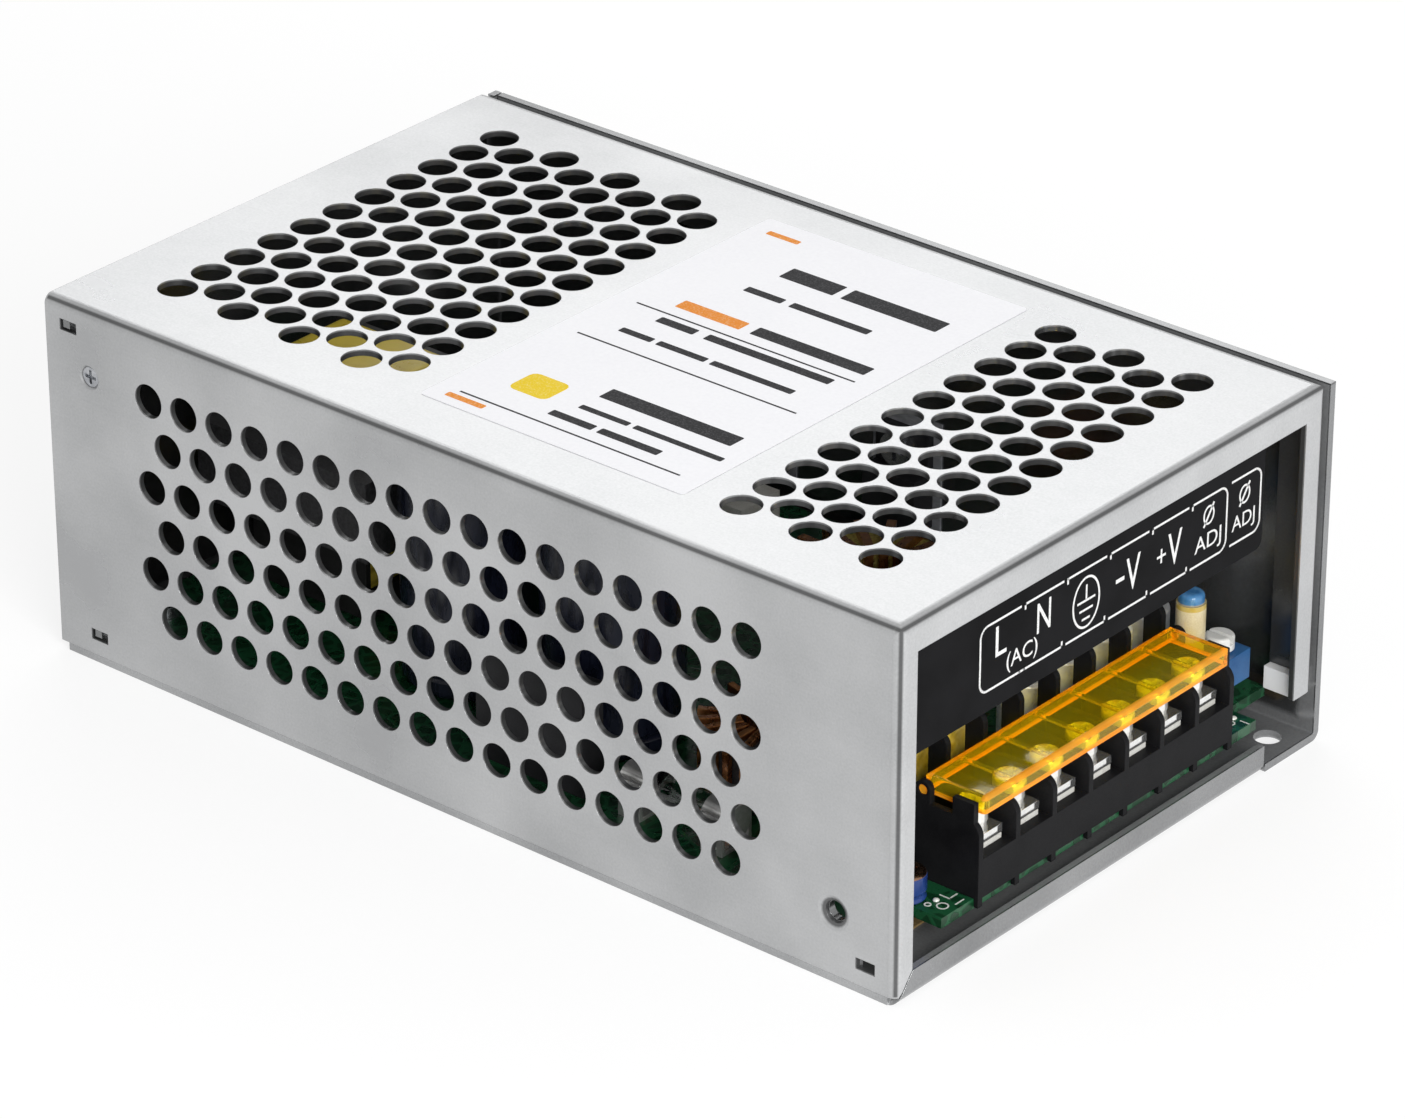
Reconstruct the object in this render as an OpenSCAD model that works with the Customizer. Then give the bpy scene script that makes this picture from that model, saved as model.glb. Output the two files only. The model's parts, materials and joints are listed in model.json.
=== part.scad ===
// Enclosed switching power supply with a screw terminal block, in millimetres.
// Frame: +X is the terminal end, -Y the perforated long side, Z up, origin under the middle of the base.

/* [Case] */
// Length of the case along X
case_l = 159; // [155:1:190]
// Width of the case along Y
case_w = 98; // [96:1:120]
// Height of the case
case_h = 58; // [56:1:70]
// Thickness of the chassis sheet
chassis_t = 1.2; // [1:0.1:1.3]
// Thickness of the cover sheet
cover_t = 1; // [0.8:0.1:1.2]
// Outside radius of every fold
fold_r = 1.5; // [1.4:0.1:2.4]
// Gap between the cover skirt and the right wall
side_gap = 0.9; // [0.5:0.1:1.5]
// Radius of the four base mounting holes
mount_hole_r = 2.1; // [1.6:0.1:2.3]
// Height of the front sill
sill_h = 4.4; // [3.5:0.1:5]
// Distance of a base mounting hole from the end of the case
mount_inset_x = 4.5; // [4:0.1:5]
// Distance of a base mounting hole from the side of the case
mount_inset_y = 6.3; // [6:0.1:7]

/* [Cover] */
// Height of the top front lip
top_lip = 4.6; // [3.6:0.1:6]
// Width of the left front lip
left_lip = 3.5; // [3:0.1:4.5]
// Width of the right front lip
right_lip = 4.6; // [3.5:0.1:5.4]
// Length of the full-height post behind the right lip
post_l = 7; // [5:0.5:9]
// Depth of the skirt along the right wall
skirt_h = 10; // [9:0.5:14]
// Width of the slits between the mitred lips
mitre_gap = 0.25; // [0.15:0.05:0.5]
// Distance between neighbouring vent holes
vent_pitch = 7; // [6.5:0.1:8]
// Radius of the vent holes in the long side
side_vent_r = 2.65; // [2:0.05:2.9]
// Radius of the vent holes in the top
top_vent_r = 3; // [2:0.05:3.1]
// Columns of holes in the rear top grille
rear_grille_cols = 8; // [4:1:9]
// Columns of holes in the front top grille
front_grille_cols = 5; // [3:1:6]
// Height of the black marking plate
plate_h = 19; // [17:0.5:20]
// Thickness of the marking plate
plate_t = 1; // [0.8:0.1:1.5]

/* [Board] */
// Height of the board standoffs
standoff_h = 4.7; // [4:0.1:6]
// Thickness of the circuit board
board_t = 1.6; // [1.2:0.1:2]
// Gap between the board and the side of the case
board_side = 3.5; // [3.2:0.1:4]
// Gap between the board tongue and the front of the case
board_front = 2.3; // [2.2:0.1:2.6]
// Depth of the notches in the front board corners
notch_l = 5; // [4:0.1:5.5]

/* [Terminals] */
// Distance between neighbouring terminals
way_pitch = 8.25; // [8:0.05:8.4]
// Thickness of the ribs between terminals
rib_t = 1; // [0.9:0.1:1.2]
// Height of the block floor above the board
slab_h = 6.1; // [5.5:0.1:6.4]
// Height of the ribs above the board
rib_h = 11.9; // [11.5:0.1:12.2]
// Height of the rear humps above the board
hump_h = 17.5; // [16:0.1:19]
// Radius of a terminal screw head
head_r = 2.3; // [2:0.05:2.5]
// Lift of a loosened terminal screw
screw_lift = 2; // [1:0.1:2.1]

/* [Lid] */
// Wall thickness of the lid
lid_t = 0.7; // [0.6:0.05:0.85]
// Depth of the lid skirts
lid_h = 2.7; // [2.2:0.1:3]
// Gap between the lid ends and the block
lid_play = 0.3; // [0.3:0.05:0.5]
// Radius of the hinge pins
pin_r = 0.75; // [0.6:0.05:0.85]

/* [Trim] */
// Radius of the turning top of the trim potentiometer
rotor_r = 2.2; // [1.8:0.1:2.6]
// Height of the indicator spacer
spacer_h = 16.9; // [10:0.1:18]

/* [Hidden] */
$fn = 48;

// Case planes
front_x = case_l / 2;
rear_x = -case_l / 2;
left_y = -case_w / 2;
right_y = case_w / 2;
wall_in_y = right_y - chassis_t;
cover_right_y = wall_in_y - side_gap;
cover_in_y = left_y + cover_t;
panel_y0 = left_y + fold_r;
panel_y1 = cover_right_y - fold_r;
fold_x = front_x - fold_r;
fold_z = case_h - fold_r;
overshoot = 30;
far = case_l + case_w + case_h;

// Chassis details
corner_relief = 1.5;
corner_gap = 0.3;
wall_step = 0.4;
base_overlap = 20;
flange_l = 15;
flange_foot = 2.6;
lug_w = 7;
lug_h = 15;
lug_tap_r = 1.5;
sill_stop = 13.5;
sill_y = right_y - sill_stop;
sill_relief = 0.4;
slot_l = 3.4;
hook_l = 1.4;
hook_h = 1.2;
hook_reach = 0.6;
hook_play = 0.3;
rear_hook_in = 8.1;
front_hook_in = 5.4;
high_hook_in = 4.6;
high_hook_drop = 3.8;
rear_hook_x = rear_x + rear_hook_in;
front_hook_x = front_x - front_hook_in;
low_hook_z = 4.5;
high_hook_x = rear_x + high_hook_in;
high_hook_z = case_h - high_hook_drop;
dimple_r = 4;
side_tap_r = 1.5;
side_tap_rear = 19.5;
side_tap_front = 24.5;
side_tap_x = [rear_x + side_tap_rear, front_x - side_tap_front];
side_tap_z = 20;

// Cover screws: countersunk, one on the left at the rear, two on the right
csk_head_r = 1.9;
csk_head_h = 0.8;
csk_r = 1.1;
csk_l = 5;
csk_slot = 0.5;
csk_slot_d = 0.5;
csk_sink = 0.3;
left_screw_in = 8.5;
left_screw_drop = 10.8;
left_screw_x = rear_x + left_screw_in;
left_screw_z = case_h - left_screw_drop;
right_screw_in = 12;
right_screw_drop = 6;
right_screw_x = [rear_x + right_screw_in, front_x - right_screw_in];
right_screw_z = case_h - right_screw_drop;
dimple_hole_in = 11;
dimple_hole_x = front_x - dimple_hole_in;
dimple_hole_z = 10.8;
dimple_hole_r = 1.7;

// Vents
row_step = vent_pitch * sqrt(3) / 2;
side_rear_gap = 20.5;
side_front_gap = 26;
side_low_gap = 12.2;
side_high_gap = 10.5;
side_cols = floor((case_l - side_rear_gap - side_front_gap) / vent_pitch) + 1;
side_rows = floor((case_h - side_low_gap - side_high_gap) / vent_pitch) + 1;
grille_side_gap = 14;
grille_rear_gap = 13.3;
grille_front_gap = 14.8;
grille_count = floor((case_w - 2 * grille_side_gap) / vent_pitch) + 1;

// Board levels and edges
board_z = chassis_t + standoff_h;
board_top = board_z + board_t;
board_y = right_y - board_side;
board_rear_gap = 9;
tongue_x = front_x - board_front;
shoulder_x = tongue_x - notch_l;
post_gap = 1.4;
post_foot = board_top + post_gap;
guard_t = 1.6;
guard_web = 1;
guard_h = 2.6;
guard_end = 0.2;
guard_play = 0.05;
guard_clear = 0.4;
lead_drop = 1.2;
lead_r = 0.4;
fixing_rear = 14;
fixing_front = 30;
fixing_side = 8;
fixing_points = [for (x = [rear_x + fixing_rear, front_x - fixing_front])
    for (y = [left_y + fixing_side, right_y - fixing_side]) [x, y]];
standoff_r = 2.75;
standoff_floor = 0.7;
fixing_r = 1.5;
fixing_play = 0.1;
fixing_head_r = 2.8;
fixing_head_h = 1.9;
cross_half = 1.8;
cross_w = 0.7;
cross_d = 1;
sheet_t = 0.3;
sheet_end_gap = 10;
sheet_side_gap = 6;
sheet_play = 0.5;

// Terminal block
ways = 7;
block_front = 1.5;
block_l = 15.5;
block_x1 = front_x - block_front;
block_x0 = block_x1 - block_l;
block_w = ways * way_pitch + rib_t;
tongue_side = 7;
tongue_y = block_w / 2 + tongue_side;
slab_z = board_top + slab_h;
rib_round = 2.2;
hump_r = 1.6;
back_wall_t = 1.6;
back_wall_h = 10.5;
foot_gap = 0.1;
foot_t = board_front - block_front - foot_gap;
foot_h = 1.3;
pin_play = 0.05;
pin_back = 9.9;
pin_rise = 13.8;
pin_x = block_x1 - pin_back;
pin_z = board_top + pin_rise;
ear_r = 1.3;
latch_back = 1;
latch_l = 3.7;
latch_x1 = block_x1 - latch_back;
latch_x0 = latch_x1 - latch_l;
latch_h = 14.6;
function way_y(i) = (i - (ways + 1) / 2) * way_pitch;
function rib_y(i) = (i - ways / 2) * way_pitch;

// Terminal hardware
screw_back = 5;
screw_x = block_x1 - screw_back;
shank_r = 1.5;
shank_play = 0.05;
well_r = 2.3;
well_floor = 1.5;
screw_tip = 2.5;
tab_t = 0.8;
tab_half = 2.7;
tab_front = 3.2;
tab_rear = 6.2;
tab_leg_half = 1.5;
tab_top = slab_z + tab_t;
rest_gap = 0.3;
clamp_half = 2.6;
clamp_front = 3.4;
clamp_rear = 3.1;
clamp_lip = 0.6;
clamp_t = 0.8;
clamp_rise = 0.5;
clamp_z = tab_top + rest_gap + clamp_rise;
washer_z = clamp_z + clamp_t;
washer_h = 0.7;
washer_step = 0.15;
washer_r = head_r - washer_step;
head_z = washer_z + washer_h;
head_round = 0.8;
slot_w = 0.9;
slot_d = 1.4;
slot_share = 0.72;

// Lid
lid_rear = 0.8;
lid_front = 0.1;
lid_rise = 1.7;
lid_x0 = pin_x - lid_rear;
lid_x1 = block_x1 - lid_front;
lid_y = block_w / 2 - rib_t - lid_play;
lid_z1 = pin_z + lid_rise;
lid_z0 = lid_z1 - lid_h;
lift_gap = 0.4;
head_h = lid_z1 - lid_t - lift_gap - screw_lift - head_z;
lid_round = 0.7;
lid_in_round = 0.3;
lid_rib_w = 0.6;
lid_rib_h = 0.5;
pin_end = 0.2;

// Marking plate
plate_top_gap = 1;
plate_end = 4.5;
plate_foot = case_h - cover_t - plate_top_gap - plate_h;
plate_y0 = left_y + cover_t + fold_r;
plate_y1 = block_w / 2 + plate_end;
plate_round = 1.5;
plate_x = front_x - cover_t;

// Trim potentiometer and indicator
trim_back = 9.2;
trim_side = 9.1;
trim_x = block_x1 - trim_back;
trim_y = block_w / 2 + trim_side;
trim_half = 3.2;
trim_h = 7.8;
trim_lift = 3;
trim_lead = 2;
trim_gap = 0.35;
rotor_h = 2.2;
rotor_round = 0.5;
rotor_slot_d = 1.2;
rotor_stem_r = 1.2;
rotor_play = 0.05;
rotor_depth = 3;
rotor_slot = 0.8;
lamp_back = 10.2;
lamp_side = 3.1;
lamp_x = block_x1 - lamp_back;
lamp_y = block_w / 2 + lamp_side;
spacer_r = 2.2;
lamp_r = 1.95;
lamp_flange_h = 0.8;
lamp_h = 2.5;
lamp_round = 0.8;
lamp_lead_gap = 1.27;
lamp_lead_r = 0.3;

// Small parts behind the terminals
front_cap_back = 8.2;
front_cap_gap = 5.6;
front_cap_x = block_x1 - front_cap_back;
front_cap_y = -block_w / 2 - front_cap_gap;
front_cap_r = 3;
front_cap_h = 4.4;
front_cap_pin = 1.25;
out_cap_count = 4;
out_cap_r = 4.2;
out_cap_h = 12;
out_cap_pitch = 9;
out_cap_back = 6;
out_cap_edge = 9.5;
out_cap_pin = 2;
out_cap_x = block_x0 - out_cap_back;
out_cap_y = [for (k = [0:out_cap_count - 1]) board_y - out_cap_edge - k * out_cap_pitch];
can_round = 0.7;
can_groove = 0.5;
can_groove_share = 1.6;
score_share = 0.7;
score_w = 0.3;
score_d = 0.25;
xcap_back = 7.5;
xcap_edge = 30.5;
xcap_l = 8;
xcap_w = 17;
xcap_h = 12;
xcap_pin = 7.5;
xcap_round = 0.8;
xcap_at = [block_x0 - xcap_back, xcap_edge - board_y];
ntc_back = 5;
ntc_edge = 14.5;
ntc_r = 5;
ntc_t = 4;
ntc_lift = 2;
ntc_pin = 2.5;
ntc_at = [block_x0 - ntc_back, ntc_edge - board_y];

// Line input parts, along the left edge of the board
fuse_front = 45;
fuse_edge = 5.5;
fuse_rise = 4.6;
fuse_r = 2.4;
fuse_cap_r = 2.6;
fuse_l = 20;
fuse_cap_l = 5;
fuse_x = front_x - fuse_front;
fuse_y = fuse_edge - board_y;
fuse_z = board_top + fuse_rise;
clip_l = 4;
clip_t = 0.6;
clip_rise = 1.4;
line_front = 43.5;
line_gap = 3.8;
line_ring = [10, 6, 9];
line_wire = 1;
line_turns = 11;
line_sweep = 150;
line_half_turns = [105, 285];
line_choke_at = [front_x - line_front, fuse_y + fuse_cap_r + clip_t + line_gap + line_ring[0] + line_wire];
turn_gap = 0.1;
ycap_front = 36;
ycap_edge = [41.5, 50.5];
ycap_r = 3.5;
ycap_t = 3.2;
ycap_lift = 1.5;
ycap_pin = 2.5;
disc_flat = 0.1;
ycap_at = [for (y = ycap_edge) [front_x - ycap_front, y - board_y]];

// Transformers: core width, height, depth; leg half width, leg width, bar depth; winding half height
main_rear = 27.5;
main_edge = 31.5;
main_at = [rear_x + main_rear, main_edge - board_y];
main_core = [34, 13, 31];
main_leg = [5, 5.5, 5.5];
main_wind_h = 16;
main_base_h = 4;
drive_rear = 59.5;
drive_edge = 37.5;
drive_at = [rear_x + drive_rear, board_y - drive_edge];
drive_size = [19, 6, 16];
drive_leg = [2.5, 3, 3];
drive_wind_h = 8;
drive_base_h = 3;
wind_gap = 0.1;
bobbin_t = 1;
wind_round = 2;
bobbin_pin_r = 0.5;
bobbin_pin_inset = 1.5;
bobbin_pin_share = 0.3;

// Bulk capacitors share the room between the transformer and the line choke, the bridge stands beside them
bridge_edge = 4.5;
bridge_l = 20;
bridge_t = 4.5;
bridge_h = 17;
bridge_pitch = 5;
bulk_r = 10.5;
bulk_h = 36;
bulk_side_gap = 3.25;
bulk_round = 1.4;
bulk_lead = 5;
bulk_x0 = main_at[0] + main_core[0] / 2;
bulk_x1 = line_choke_at[0] - line_ring[0] - line_wire;
bulk_gap = (bulk_x1 - bulk_x0 - 4 * bulk_r) / 3;
bulk_x = [bulk_x0 + bulk_gap + bulk_r, bulk_x1 - bulk_gap - bulk_r];
bridge_at = [bulk_x[1], bridge_edge - board_y];
bulk_y = bridge_at[1] + bridge_t / 2 + bulk_side_gap + bulk_r;

// Parts fixed to the right wall
wall_part_rear = [33.5, 55.5, 83.5];
wall_part_x = [for (d = wall_part_rear) rear_x + d];
wall_part_rise = 4;
wall_part_z = board_top + wall_part_rise;
wall_part_w = 10;
wall_body_h = 9;
wall_body_t = 4.5;
wall_tab_h = 15.6;
wall_tab_t = 1.3;
wall_hole_z = 12.5;
wall_hole_r = 1.6;
wall_screw_r = 1.5;
wall_lead_back = 3.2;
wall_lead_pitch = 2.54;
pad_t = 0.3;
pad_w = 13;
pad_h = 19;
pad_drop = 1.5;
part_back_y = wall_in_y - pad_t;

// Output choke, chip and resistor
out_choke_front = 57.5;
out_choke_edge = 27.5;
out_choke_at = [front_x - out_choke_front, board_y - out_choke_edge];
out_ring = [13, 7.5, 11];
out_wire = 1.4;
out_turns = 16;
out_sweep = 300;
chip_rear = 29.5;
chip_edge = 26.5;
chip_at = [rear_x + chip_rear, board_y - chip_edge];
chip_size = [19, 6.4, 3.3];
chip_lift = 0.4;
chip_legs = 8;
chip_leg_pitch = 2.3;
chip_leg_w = 0.7;
chip_leg_t = 0.8;
resistor_rear = 60.5;
resistor_edge = 15.5;
resistor_at = [rear_x + resistor_rear, board_y - resistor_edge];
resistor_size = [18, 9, 9];
resistor_lead = 7;

// Points where leads go through the board
out_cap_pins = [for (y = out_cap_y) for (s = [-1, 1]) [out_cap_x, y + s * out_cap_pin]];
xcap_pins = [for (s = [-1, 1]) xcap_at + [0, s * xcap_pin]];
ntc_pins = [for (s = [-1, 1]) ntc_at + [0, s * ntc_pin]];
ycap_pins = [for (p = ycap_at) for (s = [-1, 1]) p + [0, s * ycap_pin]];
bridge_pins = [for (k = [-1.5:1.5]) bridge_at + [k * bridge_pitch, 0]];
bulk_pins = [for (x = bulk_x) for (s = [-1, 1]) [x, bulk_y + s * bulk_lead]];
front_cap_pins = [for (s = [-1, 1]) [front_cap_x, front_cap_y + s * front_cap_pin]];
wall_pins = [for (x = wall_part_x) for (k = [-1:1]) [x + k * wall_lead_pitch, part_back_y - wall_lead_back]];
resistor_pins = [for (s = [-1, 1]) resistor_at + [s * resistor_lead, 0]];
trim_pins = [for (s = [-1:1]) [trim_x - (1 - abs(s)) * trim_lead, trim_y + s * trim_lead]];
lamp_pins = [for (s = [-1, 1]) [lamp_x, lamp_y + s * lamp_lead_gap]];
main_pins = bobbin_pins(main_at, main_core, main_leg);
drive_pins = bobbin_pins(drive_at, drive_size, drive_leg);
plain_pins = concat(out_cap_pins, xcap_pins, ntc_pins, ycap_pins, bridge_pins, bulk_pins,
    front_cap_pins, wall_pins, resistor_pins, trim_pins);
function bobbin_pins(at, core, leg) =
    [for (k = [-1:1]) for (s = [-1, 1])
        at + [k * core[0] * bobbin_pin_share, s * (core[2] / 2 - leg[2] - bobbin_pin_inset)]];

// Helpers
module slab(low, high) {
    translate(low) cube(high - low);
}

module soft_square(low, high, r) {
    size = high - low;
    translate(low + [r, 0]) square([size[0] - 2 * r, size[1]]);
    translate(low + [0, r]) square([size[0], size[1] - 2 * r]);
    for (x = [low[0] + r, high[0] - r], y = [low[1] + r, high[1] - r])
        translate([x, y]) circle(r);
}

module soft_slab(low, high, r) {
    size = high - low;
    intersection() {
        translate([0, 0, low[2]])
            linear_extrude(size[2]) soft_square([low[0], low[1]], [high[0], high[1]], r);
        translate([0, high[1], 0]) rotate([90, 0, 0])
            linear_extrude(size[1]) soft_square([low[0], low[2]], [high[0], high[2]], r);
        translate([low[0], 0, 0]) rotate([90, 0, 90])
            linear_extrude(size[0]) soft_square([low[1], low[2]], [high[1], high[2]], r);
    }
}

module soft_corner(u, v, r) {
    translate([r, 0]) square([u - r, v]);
    translate([0, r]) square([u, v - r]);
    translate([r, r]) circle(r);
}

module fold(u, v) {
    difference() {
        soft_corner(u, v, fold_r);
        translate([chassis_t, chassis_t]) soft_corner(u, v, fold_r - chassis_t);
    }
}

module post_at(x, y, z0, z1, r) {
    translate([x, y, z0]) cylinder(h = z1 - z0, r = r);
}

module leads(points, r, top) {
    for (p = points) post_at(p[0], p[1], board_z - lead_drop, top, r);
}

module turned_disc(r, h, round) {
    rotate_extrude() intersection() {
        square([r, h]);
        soft_square([-r, -h], [r, h], round);
    }
}

module can(r, h, round) {
    difference() {
        rotate_extrude() intersection() {
            square([r, h]);
            soft_square([-r, 0], [r, h], round);
        }
        translate([0, 0, r / 3]) rotate_extrude() translate([r + can_groove, 0]) circle(can_groove * can_groove_share);
        translate([0, 0, h]) for (a = [0, 60, 120]) rotate(a)
            slab([-r * score_share, -score_w / 2, -score_d], [r * score_share, score_w / 2, 1]);
    }
}

// Countersunk screw along +Y from its head face
module csk_body() {
    rotate([-90, 0, 0]) {
        cylinder(h = csk_head_h, r1 = csk_head_r, r2 = csk_r);
        cylinder(h = csk_l, r = csk_r);
    }
}

module csk_screw() {
    difference() {
        csk_body();
        slab([-csk_head_r, -1, -csk_head_r], [csk_head_r, csk_sink, csk_head_r]);
        for (a = [0, 90]) rotate([0, a, 0])
            slab([-csk_r, 0, -csk_slot / 2], [csk_r, csk_sink + csk_slot_d, csk_slot / 2]);
    }
}

// One bar of the cross recess in a fixing screw
module cross_cut() {
    slab([-cross_half, -cross_w / 2, -cross_d], [cross_half, cross_w / 2, cross_d]);
}

module left_screw_place() {
    translate([left_screw_x, left_y, left_screw_z]) children();
}

module right_screw_place() {
    for (x = right_screw_x) translate([x, right_y, right_screw_z]) mirror([0, 1, 0]) children();
}

// Chassis: one sheet with the right wall, rear wall, rear flange, front sill and a front lug
module chassis() {
    color([0.74, 0.75, 0.77]) difference() {
        union() {
            difference() {
                translate([rear_x + corner_relief, right_y, 0]) rotate([90, 0, 90])
                    linear_extrude(case_l - corner_relief) mirror([1, 0]) fold(case_w, case_h - wall_step);
                slab([fold_x, left_y - 1, -1], [front_x + 1, sill_y + sill_relief, chassis_t + 1]);
            }
            difference() {
                translate([front_x, sill_y, 0]) mirror([1, 0, 0]) rotate([90, 0, 0])
                    linear_extrude(sill_y - left_y) fold(fold_r + 1, sill_h);
                sill_mitre(-mitre_gap / 2, 2 * sill_h);
            }
            translate([rear_x, panel_y1, 0]) rotate([90, 0, 0])
                linear_extrude(panel_y1 - cover_in_y - fold_r)
                fold(base_overlap, case_h - cover_t);
            slab([rear_x, panel_y1 - 1, fold_r],
                [rear_x + chassis_t, right_y, case_h - skirt_h - corner_gap]);
            slab([rear_x, cover_right_y + corner_gap, fold_r],
                [rear_x + chassis_t, right_y, case_h - wall_step]);
            translate([rear_x, cover_in_y, flange_foot])
                linear_extrude(case_h - 2 * cover_t - flange_foot) fold(flange_l, base_overlap);
            slab([dimple_hole_x - lug_w / 2, cover_in_y, chassis_t / 2],
                [dimple_hole_x + lug_w / 2, cover_in_y + chassis_t, lug_h]);
            for (p = [[rear_hook_x, low_hook_z], [high_hook_x, high_hook_z]])
                slab([p[0] - slot_l / 2 + hook_play, cover_in_y - hook_reach, p[1] - hook_h / 2],
                    [p[0] - slot_l / 2 + hook_play + hook_l, cover_in_y + chassis_t / 2, p[1] + hook_h / 2]);
            for (x = right_screw_x) translate([x, wall_in_y - side_gap, right_screw_z])
                rotate([-90, 0, 0]) cylinder(h = side_gap + chassis_t / 2, r = dimple_r);
        }
        for (sx = [-1, 1], sy = [-1, 1])
            post_at(sx * (front_x - mount_inset_x), sy * (right_y - mount_inset_y), -1, chassis_t + 1,
                mount_hole_r);
        for (x = side_tap_x) translate([x, right_y + 1, side_tap_z])
            rotate([90, 0, 0]) cylinder(h = chassis_t + 2, r = side_tap_r);
        for (x = wall_part_x) translate([x, right_y + 1, wall_part_z + wall_hole_z])
            rotate([90, 0, 0]) cylinder(h = chassis_t + 2, r = wall_screw_r);
        translate([dimple_hole_x, left_y, dimple_hole_z])
            rotate([-90, 0, 0]) cylinder(h = 2 * lug_w, r = lug_tap_r);
        left_screw_place() csk_body();
        right_screw_place() csk_body();
    }
}

// Cover: one sheet with a full left wall, front lips and a right skirt, kept as panels that meet at the folds
module cover_skin(inset) {
    soft_slab([rear_x - overshoot, left_y + inset, -overshoot],
        [front_x - inset, cover_right_y - inset, case_h - inset], fold_r - inset);
}

module hex_grille(x0, cols) {
    for (c = [0:cols - 1]) {
        count = grille_count - c % 2;
        for (k = [0:count - 1])
            post_at(x0 + c * row_step, (k - (count - 1) / 2) * vent_pitch, case_h - fold_r * 2,
                case_h + 1, top_vent_r);
    }
}

module side_vents() {
    for (row = [0:side_rows - 1]) {
        shift = (side_rows - 1 - row) % 2;
        for (k = [0:side_cols - 1 - shift])
            translate([rear_x + side_rear_gap + (k + shift / 2) * vent_pitch, left_y - 1,
                side_low_gap + row * vent_pitch])
                rotate([-90, 0, 0]) cylinder(h = cover_t + 2, r = side_vent_r);
    }
}

module hook_slot(x, z) {
    slab([x - slot_l / 2, left_y - 1, z - hook_h / 2 - hook_play],
        [x + slot_l / 2, cover_in_y + 0.5, z + hook_h / 2 + hook_play]);
}

module mitre_slit(y, side, lip) {
    translate([front_x - cover_t - 0.5, y, case_h]) rotate([side * atan2(lip, top_lip), 0, 0])
        slab([0, -mitre_gap / 2, -norm([lip, top_lip])], [cover_t + 1, mitre_gap / 2, -fold_r]);
}

// One side of the mitre between the left lip and the front sill, from one height to another
module sill_mitre(low, high) {
    translate([fold_x - 0.5, left_y, 0]) rotate([atan2(sill_h, left_lip), 0, 0])
        slab([0, -fold_r, low], [fold_r + 1, norm([left_lip, sill_h]) + 0.3, high]);
}

module cover_sheet() {
    difference() {
        cover_skin(0);
        cover_skin(cover_t);
        slab([rear_x - 2 * overshoot, -far, -far], [rear_x, far, far]);
        slab([-far, -far, -far], [far, far, chassis_t]);
        slab([fold_x - 1, left_y + left_lip, 0], [front_x + 1, cover_right_y - right_lip, case_h - top_lip]);
        sill_mitre(-2 * sill_h, mitre_gap / 2);
        slab([-far, cover_right_y - right_lip - 1, 0], [far, cover_right_y + 1, post_foot]);
        slab([-far, panel_y1, 0], [front_x - post_l, cover_right_y + 1, case_h - skirt_h]);
        mitre_slit(left_y, -1, left_lip);
        mitre_slit(cover_right_y, 1, right_lip);
    }
}

module cover_panel(low, high) {
    color([0.86, 0.87, 0.88]) difference() {
        intersection() {
            cover_sheet();
            slab(low, high);
        }
        children();
    }
}

module cover_top() {
    cover_panel([rear_x, panel_y0, fold_z], [fold_x, panel_y1, case_h]) {
        hex_grille(rear_x + grille_rear_gap, rear_grille_cols);
        hex_grille(front_x - grille_front_gap - (front_grille_cols - 1) * row_step, front_grille_cols);
    }
}

module cover_left() {
    cover_panel([rear_x, left_y, 0], [fold_x, panel_y0, case_h]) {
        side_vents();
        hook_slot(rear_hook_x, low_hook_z);
        hook_slot(front_hook_x, low_hook_z);
        hook_slot(high_hook_x, high_hook_z);
        translate([dimple_hole_x, left_y, dimple_hole_z]) rotate([-90, 0, 0]) {
            cylinder(h = cover_t / 2, r1 = dimple_hole_r + cover_t, r2 = dimple_hole_r);
            cylinder(h = 2 * cover_t, r = dimple_hole_r);
        }
        left_screw_place() csk_body();
    }
}

module cover_right() {
    cover_panel([rear_x, panel_y1, 0], [fold_x, cover_right_y, case_h]) right_screw_place() csk_body();
}

module cover_front() {
    cover_panel([fold_x, left_y, 0], [front_x, cover_right_y, case_h]);
}

// Edge guard clipped over the foot of the right post
module edge_guard() {
    post_in_y = cover_right_y - cover_t;
    color([0.95, 0.95, 0.94]) difference() {
        slab([front_x - post_l + guard_end, post_in_y - guard_t, post_foot - guard_web],
            [fold_x, wall_in_y - guard_clear, post_foot + guard_h]);
        slab([front_x - post_l - 1, post_in_y - guard_play, post_foot],
            [front_x, cover_right_y + guard_play, post_foot + guard_h + 1]);
    }
}

module cover_screws() {
    color([0.62, 0.63, 0.65]) {
        left_screw_place() csk_screw();
        right_screw_place() csk_screw();
    }
}

module marking_plate() {
    color([0.07, 0.07, 0.075]) translate([plate_x - plate_t, 0, 0]) rotate([90, 0, 90])
        linear_extrude(plate_t)
        soft_square([plate_y0, plate_foot], [plate_y1, plate_foot + plate_h], plate_round);
}

// Board and its fixings
module insulation_sheet() {
    color([0.75, 0.6, 0.3]) difference() {
        slab([rear_x + sheet_end_gap, left_y + sheet_side_gap, chassis_t],
            [front_x - sheet_end_gap, right_y - sheet_side_gap, chassis_t + sheet_t]);
        for (p = fixing_points) post_at(p[0], p[1], 0, board_z, standoff_r + sheet_play);
    }
}

module standoffs() {
    color([0.78, 0.66, 0.35]) for (p = fixing_points) difference() {
        post_at(p[0], p[1], chassis_t, board_z, standoff_r);
        post_at(p[0], p[1], chassis_t + standoff_floor, board_z + 1, fixing_r);
    }
}

module board_screws() {
    color([0.7, 0.7, 0.72]) for (p = fixing_points) difference() {
        union() {
            post_at(p[0], p[1], chassis_t + 1, board_top + 1, fixing_r);
            post_at(p[0], p[1], board_top, board_top + fixing_head_h, fixing_head_r);
        }
        for (a = [0, 90]) translate([p[0], p[1], board_top + fixing_head_h]) rotate(a)
            cross_cut();
    }
}

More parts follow.
